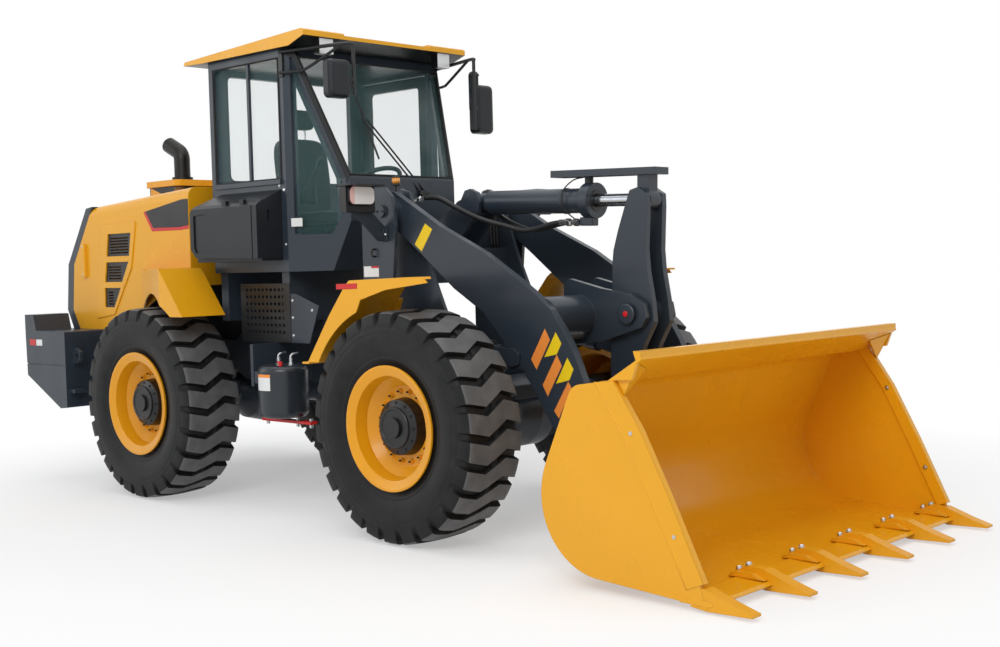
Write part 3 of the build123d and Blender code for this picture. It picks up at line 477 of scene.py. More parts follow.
def tyre_mesh():
    """The lugged tyre, with the lugs' tops in the tread's lighter look, a painted highlight."""
    rows = tyre_rows()
    columns = LUGS * len(LUG_STEPS)
    verts, faces, highlighted = [], [], []
    for y, radius, low_y, low_radius in rows:
        shift = sweep_at(y / TREAD_HALF) / TYRE_RADIUS * (radius > SWEPT_ABOVE)
        for lug in range(LUGS):
            for share, stand in LUG_STEPS:
                turn = 2 * math.pi * (lug + share - LUG_MIDDLE) / LUGS + shift
                r = (low_radius + (radius - low_radius) * stand) * MM
                place_y = (low_y + (y - low_y) * stand) * MM
                verts.append((r * math.sin(turn), place_y, -r * math.cos(turn)))
    for n in range(len(rows) - 1):
        for k in range(columns):
            a, b = n * columns + k, n * columns + (k + 1) % columns
            faces.append((a, a + columns, b + columns, b))
            on_lug = LUG_STEPS[k % len(LUG_STEPS)][1] and LUG_STEPS[(k + 1) % len(LUG_STEPS)][1]
            # Lug tops above this radius take the lighter tread look: a painted highlight
            highlighted.append(bool(on_lug) and min(rows[n][1], rows[n + 1][1]) > HIGHLIGHT_ABOVE)

    def refine(work):
        for edge in work.edges:
            edge.smooth = len(edge.link_faces) == 2 and edge.calc_face_angle(0) < TYRE_SMOOTH_TURN
        for face in work.faces:
            face.smooth = True

    mesh = built("lugged_tyre", (verts, faces), ("tyre_rubber", "tread"), refine)
    for polygon, top in zip(mesh.polygons, highlighted):
        polygon.material_index = int(top)
    return mesh


def dress_wheels():
    mesh = tyre_mesh()
    for end, axle in (("front", FRONT_AXLE), ("rear", REAR_AXLE)):
        for side, way in SIDES:
            where = f"{end}_{side}"
            body = f"wheel_{where}"
            hub = Vector((axle.x, way * axle.y, axle.z))
            tyre = linked(f"lugged_tyre_{where}", mesh)
            tyre.location = hub
            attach(tyre, body)
            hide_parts(f"tyre_{where}")
            dress_rim(where, way, hub, body)


# Metres: radii round the hub, and distances out from its middle
HUB_RADIUS = 0.169
NUT_CIRCLE, NUT_SEAT = 0.205, 0.06
COVER_CIRCLE, COVER_SEAT = 0.14, 0.137
DISC_SEAT = 0.1485
VALVE_RADIUS = 0.262
# Distance out and radius of the hub's cover
DISC = ((0, 0.122), (0.01, 0.122), (0.015, 0.117), (0.015, 0.104), (0.010, 0.1), (0.010, 0.034),
        (0.013, 0.03), (0.013, 0.012))


def dress_rim(where, way, hub, body):
    """The black hub, its cover and bolts, the wheel nuts and the valve."""
    def on_hub(polygon):
        return math.hypot(polygon.center.x - hub.x, polygon.center.z - hub.z) < HUB_RADIUS

    repaint(f"rim_{where}", "black_paint", on_hub)
    out = way * ACROSS
    seats = circle(hub + out * NUT_SEAT, ALONG, UP, NUT_CIRCLE, 16, 0.5)
    nuts = [bolt(seat, out, 0.0115, 0.018) for seat in seats]
    studs = [spun(((0.016, 0.006), (0.03, 0.006), (0.032, 0.004)), seat, out, 10) for seat in seats]
    cover = [bolt(seat, out, 0.008, 0.008)
             for seat in circle(hub + out * COVER_SEAT, ALONG, UP, COVER_CIRCLE, 12)]
    disc = spun(DISC, hub + out * DISC_SEAT, out, 40)
    valve = tube([hub + ALONG * VALVE_RADIUS + out * reach for reach in (0.1, 0.13)], 0.006, 8)
    for name, form, look in (("wheel_nuts", merge(nuts), "rim_paint"),
                             ("wheel_studs", merge(studs), "black_paint"),
                             ("hub_bolts", merge(cover), "black_paint"),
                             ("hub_cover", disc, "black_paint"), ("valve", valve, "bolt_steel")):
        piece(f"{name}_{where}", form, look, body)


# Linkage, in millimetres

# The tilt cylinder's pins, and its barrel's length from the first
TILT_BASE, TILT_EYE = (-314, 0, 1986), (1022, 0, 1942)
TILT_BARREL = 962
BOOM_FACE = 525
TOWER_FACE = 600
# X and Z of each flash on the arm, and its look
FLASHES = (
    (((675, 1224), (712, 1160), (605, 986), (564, 1046)), "stripe_orange"),
    (((755, 1205), (797, 1141), (760, 1079), (666, 1061)), "stripe_lemon"),
    (((760, 1079), (796, 1015), (685, 838), (648, 902)), "stripe_orange"),
    (((837, 1063), (881, 999), (848, 937), (748, 913)), "stripe_lemon"),
    (((840, 930), (865, 892), (764, 718), (730, 759)), "stripe_orange"),
)
ARM_LABEL = ((-282, 1853), (-220, 1816), (-319, 1682), (-380, 1728))
ARM_PIPE = ((-180, -472, 1640), (-60, -470, 1590), (120, -470, 1480), (260, -470, 1400),
            (420, -470, 1300), (520, -470, 1250))
CRANK_X, CRANK_Z = 975, 1291
# X and Z of the plate that locks the boom's pin
KEEPER = ((-640, 1925), (-540, 1925), (-540, 1955), (-640, 1955))
PIN_Z = 1940
# Thickness of what is stuck on
FILM = 0.8


def dress_boom():
    for side, way in SIDES:
        out = (0, way, 0)
        for n, (points, look) in enumerate(FLASHES):
            piece(f"flash_{side}_{n}", side_plate(points, BOOM_FACE, FILM, way), look, "boom")
        piece(f"arm_label_{side}", side_plate(ARM_LABEL, BOOM_FACE, FILM, way), "stripe_lemon", "boom")
        cap = spun(((0, 0.058), (0.006, 0.058), (0.01, 0.052)), at(CRANK_X, way * 160, CRANK_Z), out, 28)
        piece(f"crank_pin_cap_{side}", cap, "slate_paint", "boom", 0.001)
        plug = spun(((0, 0.017), (0.005, 0.017), (0.007, 0.012)), at(CRANK_X, way * 170, CRANK_Z), out, 16)
        piece(f"grease_plug_{side}", plug, "signal_red", "boom")
        bolts(f"tower_cap_bolts_{side}", [(x, way * 620, PIN_Z) for x in (-566, -614)], out, "front_body",
              7, 7, "slate_paint")
        keeper = side_plate(KEEPER, TOWER_FACE, 6, way)
        piece(f"pin_keeper_{side}", keeper, "slate_paint", "front_body", 0.002)
        bolts(f"keeper_bolts_{side}", [(x, way * (TOWER_FACE + 6), PIN_Z) for x in (-632, -548)], out,
              "front_body", look="slate_paint")
    piece("arm_pipe_right", pipe(ARM_PIPE, 0.011), "slate_paint", "boom", smooth=True)


def tilt_frame():
    """The tilt cylinder's head, its line towards the rod's eye, and the way up from it."""
    base = at(*TILT_BASE)
    line = (at(*TILT_EYE) - base).normalized()
    return base + line * TILT_BARREL * MM, line, line.cross(ACROSS).normalized()


# Metres: the bolts stand back, because the bellcrank comes close at full dump
BOLT_RECESS = 0.0035
# Distance along and radius of open rings, which the rod slides through
GLAND = ((-0.002, 0.066), (0.002, 0.066), (0.003, 0.062), (0.003, 0.041), (-0.002, 0.041))
COLLAR = ((-0.245, 0.074), (-0.241, 0.079), (-0.224, 0.079), (-0.22, 0.074))


def dress_tilt_head():
    head, line, up = tilt_frame()
    ring = [bolt(place, line, 0.009, 0.004)
            for place in circle(head - line * BOLT_RECESS, up, ACROSS, 0.088, 14)]
    piece("head_bolts", merge(ring), "slate_paint", "tilt_barrel")
    piece("rod_gland", spun(GLAND, head, line, 32, True), "black_paint", "tilt_barrel")
    piece("barrel_collar", spun(COLLAR, head, line, 40, True), "slate_paint", "tilt_barrel")


# The hoses' X, Y of the right one, how far the left one lies from it, and Z
HOSE_ROUTE = ((130, -60, 70, 1795), (-20, -95, 120, 1830), (-180, -150, 230, 1880), (-330, -190, 330, 1950),
              (-470, -215, 400, 2020), (-590, -225, 430, 2030))
# X and Z of the pipes down the towers
TOWER_PIPE = ((-690, 2018), (-730, 2000), (-745, 1940), (-740, 1800), (-720, 1702))
# Distance along and radius of the hoses' ends
HOSE_END = ((0, 0.021), (0.035, 0.021), (0.04, 0.015), (0.055, 0.015), (0.06, 0.024), (0.095, 0.024),
            (0.1, 0.018), (0.15, 0.018))
TOWER_END = ((0, 0.015), (0.05, 0.015), (0.054, 0.02), (0.08, 0.02), (0.084, 0.012), (0.12, 0.012))
# Metres along, across and up from the switch
SWITCH_WIRE = ((-0.02, 0, 0.03), (-0.1, -0.03, 0.01), (-0.13, -0.09, -0.06), (-0.12, -0.085, -0.16),
               (-0.06, -0.035, -0.235))


def dress_tilt_hoses():
    """Two hoses, which bend between the barrel's port block and the towers' pipes, and the level switch."""
    head, line, up = tilt_frame()
    port = head - line * 0.06 - up * 0.128
    block = prism([port + line * a + up * b - ACROSS * 0.03
                   for a, b in ((-0.05, -0.022), (0.05, -0.022), (0.05, 0.03), (-0.05, 0.03))], ACROSS * 0.06)
    piece("port_block", block, "slate_paint", "tilt_barrel", 0.004)
    for n in range(2):
        nipple = port - line * 0.05 + ACROSS * (-0.036, 0.036)[n]
        piece(f"hose_fitting_{n}", spun(HOSE_END, nipple, -line, 6), "bolt_steel", "tilt_barrel")
        start = nipple - line * 0.135
        route = [start, start - line * 0.08 - up * 0.01]
        route += [at(x, y + apart * n, z) for x, y, apart, z in HOSE_ROUTE]
        hose = piece(f"tilt_hose_{n}", tube(route, 0.016), "hose", None, smooth=True)
        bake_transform(hose)
        y = -225 + 430 * n
        tower_end = spun(TOWER_END, at(-575, y, 2030), (-1, 0, -0.1), 6)
        piece(f"tower_fitting_{n}", tower_end, "bolt_steel", "front_body")
        drop = pipe([(x, y, z) for x, z in TOWER_PIPE], 0.012)
        piece(f"tower_pipe_{n}", drop, "black_paint", "front_body", smooth=True)
    switch = head - line * 0.06 + up * 0.112
    bracket = spun(((-0.01, 0.026), (0.03, 0.026), (0.033, 0.02), (0.05, 0.02)), switch, up, 16)
    piece("level_switch", bracket, "black_paint", "tilt_barrel")
    wire = tube([switch + line * a + ACROSS * b + up * c for a, b, c in SWITCH_WIRE], 0.004, 8)
    piece("switch_wire", wire, "hose", "tilt_barrel", smooth=True)


BUCKET_SIDE = 1250
BUCKET_WALL = 18
# X and Z of the side cutters
CUTTER = ((1739, 1034), (1892, 810), (2056, 499), (2234, 133), (2140, 95), (1955, 460), (1790, 770),
          (1625, 1022))
CUTTER_BOLTS = ((1838, 790), (2076, 330))
TEETH = 6
# Y of the outer teeth, half a seat's width, and its gap to the bucket's side
TOOTH_SPAN, SEAT_HALF, SEAT_GAP = 1215, 68, 2
SEAT = ((2052, 62), (2106, 90), (2196, 92), (2262, 62))
# X, shift in Y and Z of a tooth's bolts
TOOTH_BOLTS = ((2088, -12, 89), (2128, 12, 108))
# X, distance in from the side's inner face and Z
GUSSET = ((1882, 0, 1120), (1742, 0, 1036), (1818, 150, 1082), (1788, 0, 955))


def dress_bucket():
    tops, wings = [], []
    limit = BUCKET_SIDE - SEAT_GAP
    for n in range(TEETH):
        y = -TOOTH_SPAN + 2 * TOOTH_SPAN * n / (TEETH - 1)
        tops += [bolt(at(x, y + shift, z), (-0.3, 0, 1), 0.015, 0.018) for x, shift, z in TOOTH_BOLTS]
        low, high = max(y - SEAT_HALF, -limit), min(y + SEAT_HALF, limit)
        wings.append(prism([at(x, low, z) for x, z in SEAT], (0, (high - low) * MM, 0)))
    piece("tooth_bolts", merge(tops), "bolt_steel", "bucket")
    piece("tooth_seats", merge(wings), "tooth_paint", "bucket", 0.003)
    for side, way in SIDES:
        plates(side, way, "bucket", (("cutter_face", CUTTER, BUCKET_SIDE, 2.5, "yellow_paint", 0.001),))
        weld = pipe([(x, way * BUCKET_SIDE, z) for x, z in CUTTER[4:]], 0.0045, 8, 2)
        piece(f"cutter_weld_{side}", weld, "yellow_paint", "bucket", smooth=True)
        bolts(f"cutter_bolts_{side}", [(x, way * BUCKET_SIDE, z) for x, z in CUTTER_BOLTS], (0, way, 0),
              "bucket", 11, 6)
        bolts(f"cutter_nuts_{side}", [(x + 22, way * (BUCKET_SIDE - 2 * BUCKET_WALL), z)
                                      for x, z in CUTTER_BOLTS], (0, -way, 0), "bucket", 11, 9)
        wedge = [at(x, way * (BUCKET_SIDE - BUCKET_WALL - y), z) for x, y, z in GUSSET]
        faces = [(0, 1, 2), (0, 2, 3), (1, 3, 2), (0, 3, 1)]
        piece(f"lip_gusset_{side}", (wedge, faces), "yellow_paint", "bucket", 0.004)


# Front frame, in millimetres

# The head lamps' cases start over this height
LAMP_FOOT_TOP = 1929
BEACON = (-672, -400, 2108)
REFLECTOR = ((-418, 1502), (-229, 1505), (-231, 1473), (-418, 1469))
# The outer faces of the fenders and the counterweight
WIDE_SIDE = 1130
# Y and Z of the head lamp's glass: middle, width, height and corner radius
LAMP_GLASS = ((824, 2031), 198, 108, 36)
# The turn lamp's part of the glass starts here
TURN_FROM, TURN_EDGE = 850, 868
HOOK = ((-665, 600, 1705), (-665, 622, 1703), (-672, 626, 1680), (-665, 622, 1662), (-665, 601, 1660))
TOWER_LABEL = ((-778, 1532), (-635, 1532), (-635, 1600), (-778, 1600))
LABEL_BAND = ((-706, 1588), (-635, 1588), (-635, 1600), (-706, 1600))


def dress_beacon():
    place = at(*BEACON)
    base = merge([spun(((0, 0.03), (0.012, 0.03), (0.014, 0.024)), place, UP, 20),
                  spun(((0.05, 0.026), (0.06, 0.022), (0.066, 0.012)), place, UP, 20),
                  pipe(((-672, -400, 2110), (-672, -400, 2020)), 0.008, 8)])
    piece("beacon_base", base, "black_paint", "front_body")
    dome = spun(((0.014, 0.024), (0.03, 0.027), (0.05, 0.025)), place, UP, 20)
    piece("beacon_lens", dome, "amber_lens", "front_body", smooth=True)


def dress_head_lamp(side, way):
    outline = [(way * y, z) for y, z in rounded(*LAMP_GLASS)]
    clear = prism([at(-520, y, z) for y, z in outline], (0.008, 0, 0))
    piece(f"head_lens_{side}", clear, "clear_lens", "front_body", 0.002)
    outer = [(max(abs(y), TURN_EDGE) * way, z) for y, z in outline if abs(y) > TURN_FROM]
    turn = prism([at(-512, y, z) for y, z in outer], (0.002, 0, 0))
    piece(f"turn_lens_{side}", turn, "blush_lens", "front_body", 0.0008)
    rim = pipe([(-518, y, z) for y, z in outline + outline[:1]], 0.005, 8, 1)
    piece(f"head_bezel_{side}", rim, "black_paint", "front_body")
    bolts(f"lamp_foot_bolts_{side}", [(x, way * 615, 1795) for x in (-585, -550)], (0, way, 0),
          "front_body")


def dress_tower(side, way):
    piece(f"tower_hook_{side}", pipe(mirrored(HOOK, way), 0.006), "black_paint", "front_body", smooth=True)
    plates(side, way, "front_body", (
        ("tower_label", TOWER_LABEL, TOWER_FACE, FILM, "blank_label"),
        ("tower_label_band", LABEL_BAND, TOWER_FACE + FILM, 0.5, "signal_red")))
    for n, y in enumerate((330, 360, 390)):
        run = [(x, way * y, z) for x, z in ((-770, 1780), (-765, 1930), (-700, 2035 + 8 * n), (-610, 2010),
                                            (-560, 1930), (-545, 1702))]
        piece(f"tower_hose_{side}_{n}", pipe(run, 0.011), "hose", "front_body", smooth=True)


def dress_front():
    repaint("head_lamps", "black_paint", lambda face: face.center.z > LAMP_FOOT_TOP * MM)
    dress_beacon()
    for side, way in SIDES:
        plates(side, way, "front_body",
               (("fender_reflector", REFLECTOR, WIDE_SIDE, 1.5, "signal_red", 0.0005),))
        dress_head_lamp(side, way)
        dress_tower(side, way)
        bolts(f"fender_bolts_{side}", [(-600, way * y, 1176) for y in (900, 760)], (-0.7, 0, 0.7),
              "front_body")


# Hood and cab, in millimetres

# The box that holds the black gasket under the hood's cap
GASKET_LOW, GASKET_HIGH = (-3740, -400, 2190), (-3230, 400, 2263)
HOOD_PANEL = ((-3001, 2045), (-2523, 2111), (-2446, 2111), (-2446, 1925), (-2560, 1915), (-2905, 1920))
PANEL_EDGE = ((-3030, 2040), (-3001, 2045), (-2905, 1932), (-2446, 1932), (-2446, 1900), (-2560, 1893),
              (-2922, 1896))
HOOD_SIDE = 780
# The rear markers' lowest X, and their looks
MARKERS = ((-4165, "signal_red"), (-4063, "blank_label"))
# Y and Z of the tail lamps
TAIL_LAMP = ((860, 1190), (1090, 1190), (1090, 1270), (860, 1270))


def dress_hood():
    low, high = at(*GASKET_LOW), at(*GASKET_HIGH)
    repaint("engine_hood", "black_paint",
            lambda face: inside(face.center, low, high) and abs(face.normal.z) < 0.5)
    for side, way in SIDES:
        plates(side, way, "rear_body", (("hood_panel_edge", PANEL_EDGE, HOOD_SIDE, 1, "signal_red"),
                                        ("hood_panel", HOOD_PANEL, HOOD_SIDE + 1, FILM, "black_paint")))
        bolts(f"grip_bolts_{side}", [(-3890, way * 806, z) for z in (1590, 1810)], (0, way, 0),
              radius=6, height=4)
        for n, (x, look) in enumerate(MARKERS):
            mark = side_plate(((x, 1052), (x + 95, 1052), (x + 95, 1100), (x, 1100)), WIDE_SIDE, 1, way)
            piece(f"rear_marker_{side}_{n}", mark, look)
        lamp = prism([at(-4222, way * y, z) for y, z in TAIL_LAMP], (-0.0095, 0, 0))
        piece(f"tail_lamp_{side}", lamp, "red_lens", bevel=0.004)


CAB_SIDE = 690
# The box round a work lamp, on either side of the middle, and the X of its face
ROOF_LAMP_LOW, ROOF_LAMP_HIGH = (-1227, 470, 0), (-1158, 595, 3095)
LAMP_FACE_X = -1160
# The windscreen's glued edge, and how near to it faces are painted, in metres
GLUED_LOW, GLUED_HIGH, GLUED_REACH = (-1041, 490, 2203), (-1338, 650, 2987), 0.1
# The box round the vent panel under the cab
VENT_LOW, VENT_HIGH = (-2032, -656, 1098), (-1478, -648, 1502)
REAR_RAIL = ((-2236, -650, 2235), (-2292, -655, 2250), (-2300, -655, 2330), (-2300, -655, 2850),
             (-2292, -655, 2935), (-2236, -650, 2950))
# The wiper's ends, its blade's ends, its arms' spacing in metres, and the way out of the glass
WIPER_PIVOT, WIPER_TIP = (-1018, 150, 2085), (-1168, -255, 2590)
BLADE_LOW, BLADE_HIGH = (-1068, -196, 2310), (-1313, -268, 2955)
ARM_GAP = 0.045
OUT_OF_SCREEN = Vector((0.935, 0, 0.354))
SIDE_SEAL = ((-2214, -690, 2196), (-1476, -690, 2196), (-1476, -690, 2989), (-2214, -690, 2989),
             (-2214, -690, 2196))
SCREEN_SEAL = ((-1041, -466, 2203), (-1041, 466, 2203), (-1338, 628, 2987), (-1338, -628, 2987),
               (-1041, -466, 2203))


def paint_roof():
    """The roof's underside and lamps are black, with a clear face on each lamp."""
    low, high = at(*ROOF_LAMP_LOW), at(*ROOF_LAMP_HIGH)
    face_x = at(LAMP_FACE_X, 0, 0).x

    def below(face):
        x, y, z = face.center
        return face.normal.z < -0.3 or inside((x, abs(y), z), low, high)

    def lamp_face(face):
        return abs(face.center.x - face_x) < 0.003 and face.center.z < high.z and face.normal.x > 0.9

    repaint("cab_roof", "black_paint", below)
    repaint("cab_roof", "clear_lens", lamp_face)


def paint_frame():
    """The glued edge beside the windscreen is black, and so is the vent panel."""
    verts = NODES["cab_frame"].data.vertices

    def glued(face):
        for _, way in SIDES:
            low, high = (at(x, way * y, z) for x, y, z in (GLUED_LOW, GLUED_HIGH))
            line = (high - low).normalized()
            if max(from_line(verts[n].co, low, line)[1] for n in face.vertices) < GLUED_REACH:
                return True
        return False

    repaint("cab_frame", "black_paint", glued)
    low, high = at(*VENT_LOW), at(*VENT_HIGH)
    repaint("rear_frame", "black_paint", lambda face: inside(face.center, low, high))


def dress_wiper():
    pivot, tip = at(*WIPER_PIVOT), at(*WIPER_TIP)
    gaps = (0, ARM_GAP)
    arms = [tube([pivot + Vector((0.004, gap, 0)), tip + Vector((0.012, gap, 0))], 0.006, 8) for gap in gaps]
    piece("wiper_arms", merge(arms), "black_paint")
    hubs = [spun(((-0.016, 0.024), (0.012, 0.024), (0.016, 0.018)), pivot + ACROSS * gap, ALONG, 20)
            for gap in gaps]
    piece("wiper_hubs", merge(hubs), "black_paint")
    low, high = at(*BLADE_LOW), at(*BLADE_HIGH)
    near, root, back = (OUT_OF_SCREEN * stand for stand in (0.002, 0.008, 0.012))
    blade = tube([low + back, high + back], 0.006, 6)
    wedge = prism([low + root, high + root, high + near, low + near], (0, 0.004, 0))
    piece("wiper_blade", merge([blade, wedge]), "seal")


def dress_cab():
    paint_roof()
    paint_frame()
    piece("rear_rail", pipe(REAR_RAIL, 0.009), "black_paint", smooth=True)
    dress_wiper()
    piece("side_seal", pipe(SIDE_SEAL, 0.009, 8, 1), "seal")
    piece("screen_seal", pipe(SCREEN_SEAL, 0.008, 8, 1), "seal")
    bolts("cab_side_bolts", [(x, -CAB_SIDE, z) for x, z in ((-1455, 2120), (-1455, 1760), (-1500, 2150))],
          (0, -1, 0))
    bolts("side_plate_bolts", [(x, -650, z) for x, z in ((-1455, 1150), (-1455, 1270), (-1455, 1385),
                                                         (-1250, 1320))], (0, -1, 0))
    # The label's foot, the way along the quarter glass and the way out of it
    foot, run, out = at(-1378, -663.5, 1902), Vector((0.881, 0.473, 0)), Vector((0.473, -0.881, 0))
    card = [foot + run * a + UP * b for a, b in ((-0.03, -0.028), (0.05, -0.028), (0.05, 0.028),
                                                 (-0.03, 0.028))]
    piece("glass_label", prism(card, out * MM), "blank_label")


MIRROR_X, MIRROR_Y = -920, 655
# Z of each mirror's foot and top
MIRROR_SPAN = {"left": (2510, 2850), "right": (2672, 2915)}
# X and Z of the arm's foot on the cab
MIRROR_FOOT = ((-1455, 2860), (-1415, 2860), (-1415, 3040), (-1455, 3040))
MIRROR_ARM = ((-1435, 708, 3022), (-1180, 640, 3024), (-905, 563, 3024), (-880, 550, 3004),
              (-877, 548, 2970))
MIRROR_TIE = ((-900, -15), (-900, 15), (-876, 15), (-876, -15))
MIRROR_BRACE = ((-1435, 708, 2885), (-1300, 666, 2885), (-1230, 640, 2900), (-967, 577, 3018))


def mirror_head(name, middle, width, height, depth):
    """A shell with rounded corners, its back swelled, and the glass behind it."""
    verts = []
    for run, inset in ((-30, 6), (-26, 0), (depth - 38, 0), (depth - 24, 6), (depth - 14, 18),
                       (depth - 10, 34)):
        corner = max(34 - inset / 2, 12)
        outline = rounded(middle, width - 2 * inset, height - 2 * inset, corner)
        verts += [at(MIRROR_X + run, y, z) for y, z in outline]
    count = len(outline)
    piece(name, (verts, wall_faces(len(verts) // count, count)), "dark_plastic")
    pane = prism([at(MIRROR_X - 30.5, y, z) for y, z in rounded(middle, width - 24, height - 24, 24)],
                 (-0.0015, 0, 0))
    piece(f"{name}_glass", pane, "mirror_glass")


def dress_mirrors():
    """Bent tube arms with rounded heads: two on the left, one on the right."""
    for side, way in SIDES:
        low, high = MIRROR_SPAN[side]
        middle = (low + high) / 2
        foot = side_plate(MIRROR_FOOT, CAB_SIDE, 12, way)
        arm = pipe(mirrored(MIRROR_ARM + ((-877, 548, low + 20),), way), 0.012, 12)
        brace = pipe(mirrored(MIRROR_BRACE, way), 0.01, 12)
        tie = side_plate([(x, middle + z) for x, z in MIRROR_TIE], 553, 30, way)
        arms = piece(f"mirror_arm_{side}", merge([foot, arm, brace, tie]), "black_paint")
        mirror_head(f"mirror_head_{side}", (way * MIRROR_Y, middle), 180, high - low, 58)
        if side == "left":
            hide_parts("mirrors")
    mirror_head("mirror_head_near", (592, 2800), 60, 290, 44)


# X and Z of the hood over the dash
DASH = ((-1190, 1990), (-1100, 1990), (-1085, 2100), (-1150, 2190), (-1215, 2160))
LEVER = ((-1560, -400, 2080), (-1500, -400, 2230), (-1440, -400, 2300))
# Distance along and radius, in metres
KNOB = ((0, 0.014), (0.015, 0.021), (0.06, 0.023), (0.085, 0.012))
GAITER = ((0, 0.07), (0.02, 0.06), (0.03, 0.064), (0.055, 0.044), (0.065, 0.048), (0.1, 0.028),
          (0.11, 0.03), (0.14, 0.014))
BOOT = ((0, 0.05), (0.012, 0.042), (0.02, 0.046), (0.034, 0.034), (0.042, 0.038), (0.056, 0.026),
        (0.064, 0.028), (0.085, 0.016))


def dress_interior():
    dash = prism([at(x, -230, z) for x, z in DASH], (0, 0.46, 0))
    piece("dash_hood", dash, "dark_plastic", bevel=0.02, smooth=True)
    stick = merge([pipe(LEVER, 0.011), spun(KNOB, at(-1450, -400, 2288), (0.6, 0, 0.8), 14)])
    gaiter = spun(GAITER, at(-1575, -400, 2060), (0.4, 0, 0.9), 20)
    boots = [spun(BOOT, at(-1683, y, 2105), (0.1, 0, 1), 20) for y in (-420, -480)]
    for name, form in (("control_lever", stick), ("lever_gaiter", gaiter), ("lever_boot_0", boots[0]),
                       ("lever_boot_1", boots[1])):
        piece(name, form, "seal", smooth=True, slot="dark_plastic")


# How square a cushion is, its cuts, and its seams' depth in metres, place and width
CUSHION_POWER, CUSHION_CUTS = 5, 12
SEAM_DEPTH, SEAM_PLACE, SEAM_WIDTH = 0.006, 0.62, 0.035


def cushion(name, low, high, lean, crown):
    """A padded form: a box with rounded sides whose faces swell, leaned back by its slope."""
    size, middle = high - low, (low + high) / 2
    work = bmesh.new()
    bmesh.ops.create_cube(work, size=2)
    bmesh.ops.subdivide_edges(work, edges=work.edges, cuts=CUSHION_CUTS, use_grid_fill=True)
    for vert in work.verts:
        unit = vert.co / sum(abs(c) ** CUSHION_POWER for c in vert.co) ** (1 / CUSHION_POWER)
        swell = crown * (1 - unit.x ** 2) * (1 - unit.y ** 2) * (1 - unit.z ** 2)
        off_seam = (abs(unit.y) - SEAM_PLACE) / SEAM_WIDTH
        seam = SEAM_DEPTH * math.exp(-off_seam ** 2) if abs(unit.y) < 0.9 else 0
        place = unit * size / 2 + unit.normalized() * (swell - seam)
        place.x += lean * place.z
        vert.co = middle + place
    mesh = bpy.data.meshes.new(name)
    work.to_mesh(mesh)
    work.free()
    mesh.materials.append(LOOKS["seat_fabric"])
    mesh.shade_smooth()
    obj = linked(name, mesh)
    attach(obj, "rear_body")
    return obj


def dress_seat():
    seat = cushion("seat_cushion", at(-2070, -235, 1905), at(-1615, 235, 2000), 0, 0.012)
    cushion("seat_back", at(-2175, -225, 1985), at(-2065, 225, 2540), -0.13, 0.014)
    cushion("head_rest", at(-2200, -130, 2610), at(-2125, 130, 2755), -0.03, 0.008)
    folds = [(0.0, 0.2), (0.01, 0.215)]
    for n in range(6):
        folds += [(0.03 + n * 0.035, 0.215), (0.047 + n * 0.035, 0.19)]
    folds += [(0.26, 0.215), (0.278, 0.2)]
    piece("seat_bellows", spun(folds, at(-1850, 0, 1624), UP, 4), "seal", slot="seat_fabric")
    rods = merge([pipe(((-2160, y, 2540), (-2162, y, 2620)), 0.008) for y in (-60, 60)])
    piece("rest_rods", rods, "bolt_steel")
    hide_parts("seat")


# X and Y of the air tank's middle, and its label's radius and steps
TANK_X, TANK_Y = -1356, -825
LABEL_RADIUS, LABEL_STEPS = 165.8, 8
TANK_FITTING = ((0, 0.018), (0.012, 0.018), (0.014, 0.012), (0.045, 0.012))
# X and Y of the red bar beside the frame
LOCK_BAR = ((-1650, -790), (-1650, -730), (-1130, -730), (-1130, -790))


def dress_tank():
    turns = [math.radians(-112 + 44 * n / LABEL_STEPS) for n in range(LABEL_STEPS + 1)]
    arc = [(TANK_X + LABEL_RADIUS * math.cos(t), TANK_Y + LABEL_RADIUS * math.sin(t)) for t in turns]
    row = len(arc)
    for name, low, high, look in (("tank_label", 815, 900, "blank_label"),
                                  ("tank_label_band", 900, 920, "stripe_orange")):
        verts = [at(x, y, z) for z in (low, high) for x, y in arc]
        faces = [(n, n + 1, n + row + 1, n + row) for n in range(LABEL_STEPS)]
        piece(name, (verts, faces), look)
    for n, x in enumerate((-1400, -1270)):
        fitting = spun(TANK_FITTING, at(x, TANK_Y, 974), UP, 6)
        bend = pipe(((x, TANK_Y, 1005), (x, TANK_Y, 1028), (x + 8, -815, 1044), (x + 12, -775, 1050)), 0.007)
        piece(f"tank_pipe_{n}", merge([fitting, bend]), "bolt_steel")
    valve = merge([spun(((0, 0.014), (0.026, 0.014)), at(-1262, -915, 972), UP, 12),
                   pipe(((-1290, -915, 996), (-1250, -915, 996)), 0.008, 8)])
    piece("drain_valve", valve, "signal_red")
    piece("lock_bar", prism([at(x, y, 585) for x, y in LOCK_BAR], UP * 0.02), "signal_red", bevel=0.002)
    studs = [spun(((-0.03, 0.012), (0.03, 0.012)), at(x, -760, 592), UP, 12) for x in (-1620, -1300, -1160)]
    piece("lock_bar_studs", merge(studs), "bolt_steel")


def dress_left_side():
    rails = []
    for x, high in ((-1452, 2500), (-2238, 2300)):
        run = ((8, 1760), (60, 1790), (60, high - 30), (8, high))
        rails.append(pipe([(x, CAB_SIDE + out, z) for out, z in run], 0.013))
    piece("grab_rails", merge(rails), "black_paint", smooth=True)


# Millimetres: the lift pin's X, and its fork's reach back
LIFT_PIN_X, FORK_REACH = 434, 195
# Metres: half the lift rod's width, the tilt rod's radius and its fork's length
LIFT_ROD_HALF, TILT_ROD_RADIUS, TILT_FORK = 0.036, 0.04, 0.05


